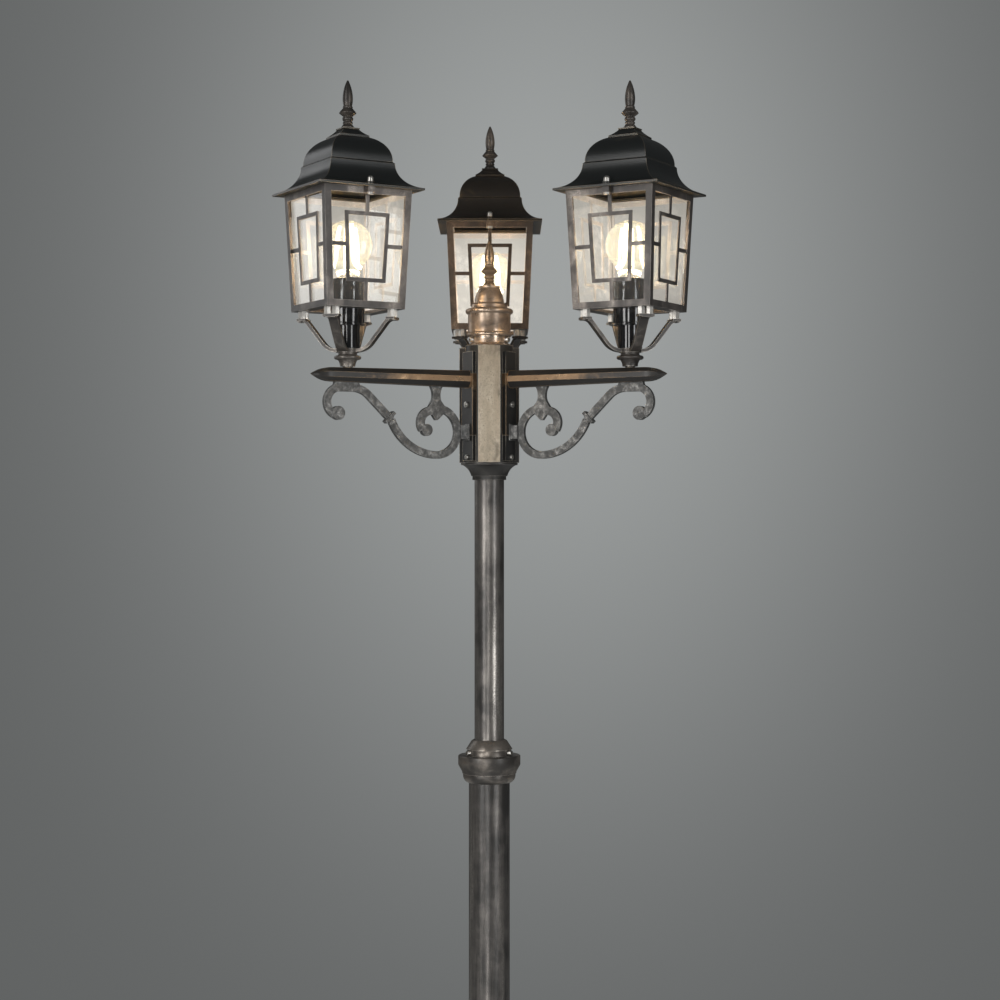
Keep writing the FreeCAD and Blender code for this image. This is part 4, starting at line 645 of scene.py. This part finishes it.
@dataclass
class Maker:
    """Turns bmesh work into finished pieces that ride on the model."""

    segments: int = 56
    sharp: float = 34.0
    weld: float = 0.00002
    bevel_from: float = 38.0
    bevel_strips: int = 2
    made: int = 0

    def turned(self, outline: Outline, closed: bool = False, soften: float = 0.35) -> Mesh:
        """Spins an outline about the Z axis.

        Args:
            outline: The half section.
            closed: Whether the section is a ring that never meets the axis.
            soften: Width of the bevel on sharp rings, in millimetres.

        Returns:
            A closed mesh in millimetres.
        """
        bm = bmesh.new()
        verts = [bm.verts.new((r, 0.0, z)) for r, z in outline.points]
        pairs = list(zip(verts, verts[1:])) + ([(verts[-1], verts[0])] if closed else [])
        edges = [bm.edges.new(pair) for pair in pairs]
        bmesh.ops.spin(bm, geom=verts + edges, cent=(0, 0, 0), axis=(0, 0, 1), dvec=(0, 0, 0),
                       angle=tau, steps=self.segments, use_merge=True, use_normal_flip=False,
                       use_duplicate=False)
        bmesh.ops.remove_doubles(bm, verts=bm.verts, dist=0.0005)
        bmesh.ops.recalc_face_normals(bm, faces=bm.faces)
        if soften:
            self.soften(bm, soften)
        return bm

    def soften(self, bm: Mesh, width: float) -> None:
        """Bevels the sharp edges of a closed mesh.

        Args:
            bm: The mesh, changed in place.
            width: Bevel width in the mesh's own unit.
        """
        limit = radians(self.bevel_from)
        edges = [e for e in bm.edges if len(e.link_faces) == 2 and e.calc_face_angle(0.0) > limit]
        if edges:
            bmesh.ops.bevel(bm, geom=edges, offset=width, offset_type="OFFSET", affect="EDGES",
                            segments=self.bevel_strips, profile=0.5, clamp_overlap=True, material=-1)

    def rod(self, radius: float, start: Vector, end: Vector, segments: int) -> Mesh:
        """Capped rod between two points."""
        bm = bmesh.new()
        run = end - start
        bmesh.ops.create_cone(bm, cap_ends=True, segments=segments, radius1=radius, radius2=radius,
                              depth=run.length)
        spin = run.to_track_quat("Z", "Y").to_matrix().to_4x4()
        bmesh.ops.transform(bm, matrix=Matrix.Translation((start + end) / 2) @ spin, verts=bm.verts)
        return bm

    def merged(self, parts: list[Mesh]) -> Mesh:
        """One mesh out of several, which are freed."""
        whole = bmesh.new()
        for part in parts:
            mesh = baked(part, "part")
            whole.from_mesh(mesh)
            bpy.data.meshes.remove(mesh)
        return whole

    def piece(self, bm: Mesh, name: str, finish: Finish, *nodes: str, body: str = POST,
              place: Matrix = AXIS) -> bpy.types.Object:
        """Finishes a mesh as a piece of the object.

        Args:
            bm: The mesh, which is freed.
            name: The piece's name.
            finish: The finish that dresses it.
            *nodes: The nodes of the model that it stands for.
            body: The body that it rides on.
            place: Transform from the mesh's own unit to metres in the frame.

        Returns:
            The new object, at the origin and unturned.
        """
        bmesh.ops.transform(bm, matrix=place, verts=bm.verts)
        mesh = baked(bm, name)
        mesh.shade_smooth()
        mesh.set_sharp_from_angle(angle=radians(self.sharp))
        obj = placed(name, mesh)
        mesh.materials.append(finish.material())
        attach(obj, body)
        if nodes:
            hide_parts(*nodes)
        self.made += 1
        LOG.info("%s: %d faces on %s", name, len(mesh.polygons), body)
        return obj

    def casting(self, node: str, finish: Finish, soften: float = 0.4, body: str = POST) -> bpy.types.Object:
        """A node of the model with its triangles joined and its sharp edges softened.

        Args:
            node: The node that is dressed.
            finish: The finish that it gets.
            soften: Bevel width in millimetres, or 0 for none.
            body: The body that it rides on.

        Returns:
            The dressed piece, which stands for the node.
        """
        bm = bmesh.new()
        bm.from_mesh(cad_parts[node].data)
        bmesh.ops.remove_doubles(bm, verts=bm.verts, dist=self.weld)
        bmesh.ops.dissolve_limit(bm, angle_limit=radians(1.5), use_dissolve_boundaries=False,
                                 verts=bm.verts, edges=bm.edges, delimit=set())
        if soften:
            self.soften(bm, soften * MM)
        obj = self.piece(bm, f"{node}_cast", finish, node, body=body, place=Matrix.Identity(4))
        if soften:
            obj.modifiers.new("flat_faces_stay_flat", "WEIGHTED_NORMAL").keep_sharp = True
        return obj


MAKER = Maker()


@dataclass(frozen=True)
class ScrewRow:
    """Three socket screws round the pole, one over each arm's bearing, in millimetres."""

    z: float
    seat: float
    head_h: float = 5.0
    head_d: float = 7.0
    rim_share: float = 0.18
    recess_share: float = 0.5

    def head(self) -> Mesh:
        """One screw head standing on the origin, along +Z."""
        r, h, rim, recess = self.head_d / 2, self.head_h, self.rim_share * self.head_h, self.recess_share
        outline = Outline(0, 0).line((r, 0), (r, h - rim))
        outline.arc((r - 0.3 * rim, h - 0.3 * rim), (r - rim, h), 3)
        outline.line((recess * r, h), (recess * r, 0.45 * h), (0, 0.4 * h))
        return Maker(segments=20).turned(outline, soften=0.0)


def screws(node: str, *rows: ScrewRow) -> None:
    """Screw heads of one node, joined.

    Args:
        node: The node that they stand for.
        *rows: Where they sit, three to a row.
    """
    parts = []
    lay = Matrix.Rotation(radians(90), 4, "Y")
    for row in rows:
        for side in Side:
            bm = row.head()
            bmesh.ops.transform(bm, matrix=Matrix.Rotation(radians(side.value), 4, "Z")
                                @ Matrix.Translation((row.seat, 0, row.z)) @ lay, verts=bm.verts)
            parts.append(bm)
    MAKER.piece(MAKER.merged(parts), f"{node}_heads", STEEL, node)


# ---- sub-assemblies
@dataclass
class Pole:
    """Foot, two tubes, the collar between them and their clamping screws."""

    foot_screw: float = 202.0
    foot_lip_r: float = 37.0
    tube_start: float = 146.0
    collar_bottom: float = 1179.5
    collar_top: float = 1233.5
    collar_screw: float = 1217.75
    lower_r: float = 26.0
    upper_r: float = 18.75
    wall: float = 2.0
    upper_start: float = 1187.5
    upper_end: float = 1610.0
    spigot_h: float = 42.0
    spigot_r: float = 23.8
    bore_r: float = 14.0
    socket_r: float = 18.95
    skirt_r: float = 28.0
    ledge_r: float = 34.5
    flange_r: float = 39.5
    shoulder_r: float = 29.5
    top_r: float = 20.75

    def build(self) -> None:
        """Builds every piece from the ground to the hub."""
        MAKER.casting("base_foot", TUBE, 0.8)
        self.tube("lower_tube", self.lower_r, self.tube_start, self.collar_bottom)
        self.tube("upper_tube", self.upper_r, self.upper_start, self.upper_end)
        MAKER.piece(MAKER.turned(self.collar(), True), "middle_collar_turned", COLLAR, "middle_collar")
        screws("base_screws", ScrewRow(self.foot_screw, self.foot_lip_r))
        screws("collar_screws", ScrewRow(self.collar_screw, self.skirt_r))

    def tube(self, node: str, r: float, start: float, end: float) -> None:
        """One drawn tube.

        Args:
            node: The node that it stands for.
            r: Outer radius.
            start: Height of its lower end.
            end: Height of its upper end.
        """
        section = Outline(r - self.wall, start).line((r, start), (r, end), (r - self.wall, end))
        MAKER.piece(MAKER.turned(section, True, 0.0), f"{node}_drawn", TUBE, node)

    def collar(self) -> Outline:
        """Half section of the collar, from the spigot up to the cone."""
        low, top, foot = self.collar_bottom, self.collar_top, self.collar_bottom - self.spigot_h
        ledge, groove, shoulder = low + 11.5, low + 34.5, low + 42
        return (Outline(self.bore_r, foot)
                .line((self.spigot_r, foot), (self.spigot_r, low), (self.skirt_r, low))
                .arc((32.75, low + 5.4), (33.0, ledge))
                .line((self.ledge_r, ledge), (self.ledge_r, ledge + 2), (self.flange_r, low + 22.5),
                      (self.flange_r, groove - 1), (self.flange_r - 1, groove), (self.skirt_r, groove),
                      (self.skirt_r, shoulder), (self.shoulder_r, shoulder), (self.top_r + 2, top - 1.5),
                      (self.top_r, top), (self.socket_r, top), (self.socket_r, self.upper_start),
                      (self.bore_r, self.upper_start)))


@dataclass
class Spike:
    """Turned finial: base ring, two beads, a hat and a long flame."""

    base_r: float = 8.0
    neck_r: float = 5.2
    ring_r: float = 6.2
    bead_r: float = 6.8
    hat_r: float = 10.5
    flame_r: float = 6.3
    tip_r: float = 0.8
    spigot_r: float = 2.5

    def outline(self) -> Outline:
        """Half section, with the base at height 0."""
        neck, flame = self.neck_r, self.flame_r
        return (Outline(0, -5).line((self.spigot_r, -5), (self.spigot_r, 0), (self.base_r, 0),
                                    (self.base_r, 1.6), (neck, 5.5))
                .arc((self.ring_r, 6.9), (neck, 8.3)).line((neck, 9.1))
                .arc((self.bead_r, 11.7), (neck, 14.3))
                .line((self.hat_r, 18.5), (self.hat_r, 19.3), (5.7, 25.0), (flame, 26.3), (neck, 27.5))
                .arc((6.0, 32.0), (flame, 36.5), 7).arc((4.6, 48.875), (self.tip_r, 59.0), 12)
                .line((0, 59.0)))

    def build(self, node: str, place: Matrix, body: str = POST, finish: Patina = SPIKE) -> None:
        """Spins one finial.

        Args:
            node: The node that it stands for.
            place: Where its base stands.
            body: The body that it rides on.
            finish: The finish that it gets.
        """
        MAKER.piece(MAKER.turned(self.outline(), soften=0.25), f"{node}_turned", finish, node, body=body,
                    place=place)


@dataclass
class Hub:
    """Six-sided casting with its funnel, cap, finial, screws and terminal strip."""

    cap_top: float = 1809.2
    plate_face: float = 32.6
    seat_face: float = 31.6
    arm_screw_drop: float = 32.0
    tube_screw_rise: float = 6.5
    cap_screw_rise: float = 7.5
    funnel_bottom: float = 1563.0
    socket_r: float = 18.95
    funnel_r: float = 36.0
    cap_neck_r: float = 24.0
    cap_drum_r: float = 27.0
    cap_step_r: float = 22.9
    cap_lip_r: float = 13.7
    cap_sleeve_r: float = 20.7

    def build(self) -> None:
        """Builds the hub from the funnel to the finial."""
        MAKER.piece(MAKER.turned(self.funnel(), True), "hub_funnel_turned", ANTIQUE, "hub_socket")
        MAKER.casting("hub_core", HUB, 0.5)
        MAKER.piece(MAKER.turned(self.cap(), True), "hub_cap_turned", CAP, "hub_cap")
        Spike().build("hub_finial", AXIS @ Matrix.Translation((0, 0, self.cap_top)), finish=HUB_SPIKE_LAMP_LIT)
        MAKER.casting("terminal_block", STRIP)
        screws("hub_screws", ScrewRow(PLAN.hub_bottom + self.tube_screw_rise, self.seat_face, 2.5),
               ScrewRow(PLAN.hub_top + self.cap_screw_rise, self.cap_neck_r))
        screws("arm_screws", ScrewRow(PLAN.arm - self.arm_screw_drop, self.plate_face, 2.4, 8.0))

    def funnel(self) -> Outline:
        """Half section of the flared socket under the hub."""
        low, top, rim = self.funnel_bottom, PLAN.hub_bottom, self.funnel_bottom + 19
        return (Outline(self.socket_r, low).line((21.5, low), (21.5, low + 5), (23.0, low + 5))
                .arc((26.0, low + 12), (self.funnel_r - 2, rim))
                .line((self.funnel_r, rim), (self.funnel_r, top), (self.socket_r, top)))

    def cap(self) -> Outline:
        """Half section of the stepped cap, a sleeve over the hub's spigot."""
        base, neck, drum, step = PLAN.hub_top, self.cap_neck_r, self.cap_drum_r, self.cap_step_r
        lip, sleeve, bell, top = self.cap_lip_r, self.cap_sleeve_r, base + 54.5, self.cap_top
        return (Outline(sleeve, base).line((31.0, base), (neck, base + 3.5), (neck, base + 13.5))
                .arc((28.9, base + 15.3), (drum, base + 17.1)).line((drum, base + 40.5))
                .arc((30.3, base + 43.5), (24.4, base + 46.5))
                .line((step, base + 48.5), (step, base + 52.5), (18.85, bell))
                .arc((17.125, base + 64.25), (13.0, base + 74))
                .line((lip, base + 74), (lip, top), (2.5, top), (2.5, base + 71), (10.0, base + 71),
                      (15.85, bell), (sleeve, base + 40.5)))


@dataclass
class Bracket:
    """One arm with its scroll and clip."""

    side: Side

    def build(self) -> None:
        """Dresses the three castings of the arm."""
        label = self.side.label
        MAKER.casting(f"arm_{label}", ARM.along(self.side), 0.7)
        MAKER.casting(f"scroll_{label}", WROUGHT, 0.8)
        MAKER.casting(f"scroll_clip_{label}", WROUGHT)


@dataclass
class Lamp:
    """Clear screw lamp: envelope, cap with a rolled thread, filaments and their haze."""

    side: Side
    cap_edge: float = -107.0
    globe_r: float = 30.0
    globe_z: float = -63.0
    glass: float = 1.0
    neck_r: float = 13.3
    cap_h: float = 25.0
    turns: int = 5
    pitch: float = 3.6
    thread: float = 0.9
    sticks: int = 4
    stick_r: float = 1.1
    stick_foot: Point = (9.5, -88.0)
    stick_head: Point = (5.0, -52.0)
    haze_size: Triple = (25.0, 25.0, 27.0)
    haze_z: float = -66.0
    glow_reach: float = 0.075
    glow: float = 0.03
    watts: float = 0.75
    warmth: Colour = (1.0, 0.66, 0.34)
    flame_r: float = 0.018

    def build(self) -> None:
        """Builds the four pieces of the lamp and its light."""
        label, place = self.side.label, PLAN.lantern(self.side)
        middle = place @ Vector((0, 0, self.globe_z))
        glass = LitGlass(f"lamp_glass_{label}", "bulb_glass", (1.0, 0.985, 0.95), (1.0, 0.9, 0.66),
                         tuple(middle), self.glow_reach, self.glow)
        seat = {"body": f"bulb_{label}", "place": place}
        envelope = MAKER.piece(MAKER.turned(self.envelope(), soften=0.0), f"bulb_envelope_{label}", glass,
                               f"bulb_glass_{label}", **seat)
        MAKER.piece(MAKER.turned(self.cap(), soften=0.0), f"bulb_cap_{label}_rolled", LAMP_CAP,
                    f"bulb_cap_{label}", **seat)
        MAKER.piece(self.filaments(), f"bulb_filaments_{label}", FILAMENT, **seat)
        haze = MAKER.piece(self.haze(), f"bulb_haze_{label}", HAZE, **seat)
        for see_through in (envelope, haze):
            see_through.visible_shadow = False
        self.light(middle)

    def envelope(self) -> Outline:
        """Glass wall: out along the neck and the globe, and back a millimetre inside."""
        low, z, neck, inner = self.cap_edge, self.globe_z, self.neck_r, self.globe_r - self.glass
        return (Outline(0, low).line((neck, low), (neck, low + 4))
                .arc((16.2, -92.64), (22.98, -82.28), 8).arc((27.19, z + 12.68), (0, z + self.globe_r), 20)
                .line((0, z + inner)).arc((26.28, z + 12.26), (22.22, -81.64), 20)
                .arc((15.3, -92.3), (neck - 1, low + 4), 8).line((neck - 1, low + 1), (0, low + 1)))

    def cap(self) -> Outline:
        """Metal cap with its rolled turns and a contact at its foot."""
        edge, low = self.cap_edge, self.cap_edge - self.cap_h
        outline = Outline(0, low - 2).line((5.0, low - 2), (7.0, low), (11.6, low + 2))
        z = low + 2.6
        for _ in range(self.turns):
            outline.arc((self.neck_r, z + self.pitch / 2), (self.neck_r - self.thread, z + self.pitch), 5)
            z += self.pitch
        return outline.line((13.2, edge - 3.0), (13.2, edge), (0, edge))

    def filaments(self) -> Mesh:
        """Lit sticks that lean in towards the top."""
        parts = []
        for k in range(self.sticks):
            angle = radians(45 + 360 * k / self.sticks)
            foot, head = (Vector((r * cos(angle), r * sin(angle), z))
                          for r, z in (self.stick_foot, self.stick_head))
            parts.append(MAKER.rod(self.stick_r, foot, head, 8))
        return MAKER.merged(parts)

    def haze(self) -> Mesh:
        """Soft ball of light round the filaments."""
        bm = bmesh.new()
        bmesh.ops.create_uvsphere(bm, u_segments=48, v_segments=28, radius=1.0)
        bmesh.ops.scale(bm, vec=self.haze_size, verts=bm.verts)
        bmesh.ops.translate(bm, vec=(0, 0, self.haze_z), verts=bm.verts)
        return bm

    def light(self, middle: Vector) -> None:
        """Warm point lamp at the filaments.

        Args:
            middle: Centre of the globe in the frame.
        """
        data = bpy.data.lights.new(f"lamp_light_{self.side.label}", "POINT")
        data.energy, data.color, data.shadow_soft_size = self.watts, self.warmth, self.flame_r
        light = placed(data.name, data)
        light.location = middle
        light.visible_camera = light.visible_transmission = False


@dataclass
class Lantern:
    """One lantern: cradle, holder, cage, lattices, panes, roof and lamp."""

    side: Side
    finial_z: float = 79.5
    glow_z: float = -75.0
    glow_reach: float = 0.24
    glow: float = 0.58
    rear_glow: float = 0.85
    stud_y: float = 62.5
    nut_r: float = 4.0
    nut_seat: float = 6.0
    nut_rim: float = 10.0
    nut_top: float = 13.2
    holder_r: float = 20.75
    stem_r: float = 14.75
    mouth_r: float = 13.8
    groove: float = 1.2

    @property
    def lid(self) -> str:
        """The body of the roof that lifts off."""
        return f"roof_unit_{self.side.label}"

    def build(self) -> None:
        """Builds the lantern from its cradle to its finial."""
        label, place = self.side.label, PLAN.lantern(self.side)
        MAKER.casting(f"cradle_{label}", CRADLE, 0.6)
        MAKER.piece(MAKER.turned(self.holder(), soften=0.3), f"lamp_holder_{label}_moulded", HOLDER,
                    f"lamp_holder_{label}", place=place)
        # painted lamp light: the rear lantern gets the warmer, lamp-lit copies of the cage and roof
        # finishes
        cage, roof = (CAGE_LAMP_LIT, ROOF_LAMP_LIT) if self.side is Side.REAR else (CAGE, ROOF)
        MAKER.casting(f"body_frame_{label}", cage, 0.8)
        MAKER.casting(f"pane_lattice_{label}", cage, 0.3)
        self.panes(place)
        MAKER.casting(f"roof_{label}", roof, 0.6, self.lid)
        Spike().build(f"roof_finial_{label}", place @ Matrix.Translation((0, 0, self.finial_z)), self.lid)
        self.nuts(place)
        Lamp(self.side).build()

    def holder(self) -> Outline:
        """Half section of the moulded holder with its socket."""
        stem, body, mouth, groove = self.stem_r, self.holder_r, self.mouth_r, self.holder_r - self.groove
        return (Outline(0, -190).line((stem, -190), (stem, -162), (body, -162), (body, -160),
                                      (groove, -160), (groove, -158.4), (body, -158.4), (body, -106),
                                      (body - 1, -105), (mouth, -105), (mouth, -134.3), (0, -134.3)))

    def panes(self, place: Matrix) -> None:
        """The four panes, with a soft glow near the lamp.

        Args:
            place: Place of the lantern.
        """
        label = self.side.label
        middle = place @ Vector((0, 0, self.glow_z))
        glow = self.rear_glow if self.side is Side.REAR else self.glow
        glass = LitGlass(f"pane_glass_{label}", "pane_glass", (0.97, 0.985, 0.98), (1.0, 0.9, 0.78),
                         tuple(middle), self.glow_reach, glow, one_sided=True)
        MAKER.casting(f"glass_panes_{label}", glass, 0.0).visible_shadow = False

    def nuts(self, place: Matrix) -> None:
        """Domed nuts on the two roof studs.

        Args:
            place: Place of the lantern.
        """
        parts = []
        for y in (-self.stud_y, self.stud_y):
            dome = Outline(0, self.nut_seat).line((self.nut_r, self.nut_seat), (self.nut_r, self.nut_rim))
            bm = Maker(segments=24).turned(dome.arc((2.9, 12.2), (0, self.nut_top), 6), soften=0.0)
            bmesh.ops.translate(bm, vec=(0, y, 0), verts=bm.verts)
            parts.append(bm)
        node = f"roof_nuts_{self.side.label}"
        MAKER.piece(MAKER.merged(parts), f"{node}_domed", STEEL, node, body=self.lid, place=place)


@dataclass
class Fasteners:
    """Spacers, studs and threaded tubes that the three lanterns share."""

    def build(self) -> None:
        """Dresses the shared nodes."""
        for node, finish in (("cradle_standoffs", STEEL), ("roof_studs", STEEL), ("lamp_nipples", BRASS)):
            MAKER.casting(node, finish, 0.0)


@dataclass
class Studio:
    """Pale floor, grey backdrop light, soft lamps and the camera.

    The pool's middle and spread are sideways and upwards slopes of the view's ray.
    """

    lens: float = 73.2
    sensor: float = 36.0
    eye: Triple = (0.0136, -2.585, 1.524)
    tilt: float = 0.3
    aim: Triple = (0, 0, 1.65)
    floor_r: float = 3.2
    floor_z: float = -0.0005
    ambient: float = 0.3
    ambient_tint: Colour = (0.98, 1.0, 1.0)
    flagged: float = 0.6
    pool_middle: Point = (0.0257, 0.1153)
    pool_spread: Point = (0.1824, 0.2527)
    pool_from: float = 0.3
    pool_grey: float = 0.2328
    wall_grey: float = 0.1208
    wall_tint: Colour = (0.975, 1.015, 1.01)

    def build(self) -> None:
        """Sets up everything that isn't part of the post."""
        bpy.context.scene.view_settings.view_transform = "Standard"
        self.floor()
        self.backdrop()
        self.softbox("key", (-1.85, -2.15, 2.0), (0.75, 2.8), 38.0, (1.0, 0.99, 0.98))
        self.softbox("fill", (1.85, -2.15, 1.9), (0.6, 2.8), 26.0, (0.98, 0.99, 1.0))
        self.softbox("strip", (-0.55, -2.9, 0.8), (0.45, 1.3), 13.0, (1.0, 0.99, 0.98))
        self.softbox("rim", (-1.9, 1.4, 2.3), (0.7, 1.4), 4.0, (0.98, 0.99, 1.0))
        self.camera()

    def floor(self) -> None:
        """Pale disc under the foot."""
        bm = bmesh.new()
        bmesh.ops.create_circle(bm, cap_ends=True, segments=96, radius=self.floor_r)
        bmesh.ops.translate(bm, vec=(0, 0, self.floor_z), verts=bm.verts)
        mesh = baked(bm, "studio_floor")
        mesh.materials.append(FLOOR.material())
        floor = placed(mesh.name, mesh)

    def backdrop(self) -> None:
        """Grey wall with a soft pool of light, seen by the camera, in glass and in metal."""
        world = bpy.data.worlds.new("studio_world")
        bpy.context.scene.world = world
        world.use_nodes = True
        world.node_tree.nodes.clear()
        w = Wiring(world.node_tree)
        ray = w.add("TexCoord").outputs["Generated"]
        parts = w.add("SeparateXYZ", Vector=ray).outputs
        ahead = w.maths("MAXIMUM", parts[1], 0.05)
        slopes = [w.maths("DIVIDE", part, ahead) for part in (parts[0], parts[2])]
        across, up = (w.maths("DIVIDE", w.maths("SUBTRACT", slope, middle), spread)
                      for slope, middle, spread in zip(slopes, self.pool_middle, self.pool_spread))
        square = w.maths("ADD", w.times(across, across), w.times(up, up))
        pool = w.maths("EXPONENT", w.times(square, -1.0))
        pool = w.times(pool, w.maths("GREATER_THAN", parts[1], self.pool_from))
        grey = w.maths("ADD", self.wall_grey, w.times(pool, self.pool_grey))
        wall = w.blend(1.0, grey, self.wall_tint, "MULTIPLY")
        path = w.add("LightPath").outputs
        dimmed = w.rest(w.times(path["Is Glossy Ray"], self.flagged))
        seen = w.add("Background", Color=wall, Strength=dimmed).outputs[0]
        soft = w.add("Background", Color=self.ambient_tint, Strength=self.ambient).outputs[0]
        direct = w.maths("MAXIMUM", path["Is Camera Ray"],
                         w.maths("MAXIMUM", path["Is Glossy Ray"], path["Is Transmission Ray"]))
        mix = w.numbered(w.add("MixShader"), {0: direct, 1: soft, 2: seen})
        w.add("OutputWorld", Surface=mix.outputs[0])

    def softbox(self, name: str, place: Triple, size: Point, energy: float, colour: Colour) -> None:
        """One rectangular lamp that looks at the lanterns.

        Args:
            name: Its name.
            place: Where it hangs.
            size: Width and height.
            energy: Watts.
            colour: Its tint.
        """
        data = bpy.data.lights.new(f"softbox_{name}", "AREA")
        data.shape, data.energy, data.color = "RECTANGLE", energy, colour
        data.size, data.size_y = size
        box = placed(data.name, data)
        box.location = place
        box.rotation_euler = (Vector(self.aim) - Vector(place)).to_track_quat("-Z", "Y").to_euler()
        box.visible_camera = False

    def camera(self) -> None:
        """The photograph's view."""
        data = bpy.data.cameras.new("front_camera")
        data.lens, data.sensor_width = self.lens, self.sensor
        camera = placed(data.name, data)
        camera.location = self.eye
        camera.rotation_euler = (radians(90 + self.tilt), 0, 0)
        bpy.context.scene.camera = camera


def main() -> None:
    """Builds the post in order, from the ground up, and then the studio."""
    logging.basicConfig(level=logging.INFO, format="%(name)s %(message)s")
    Pole().build()
    Hub().build()
    for side in Side:
        Bracket(side).build()
        Lantern(side).build()
    Fasteners().build()
    Studio().build()
    LOG.info("%d pieces made", MAKER.made)


if __name__ == "__main__":
    main()
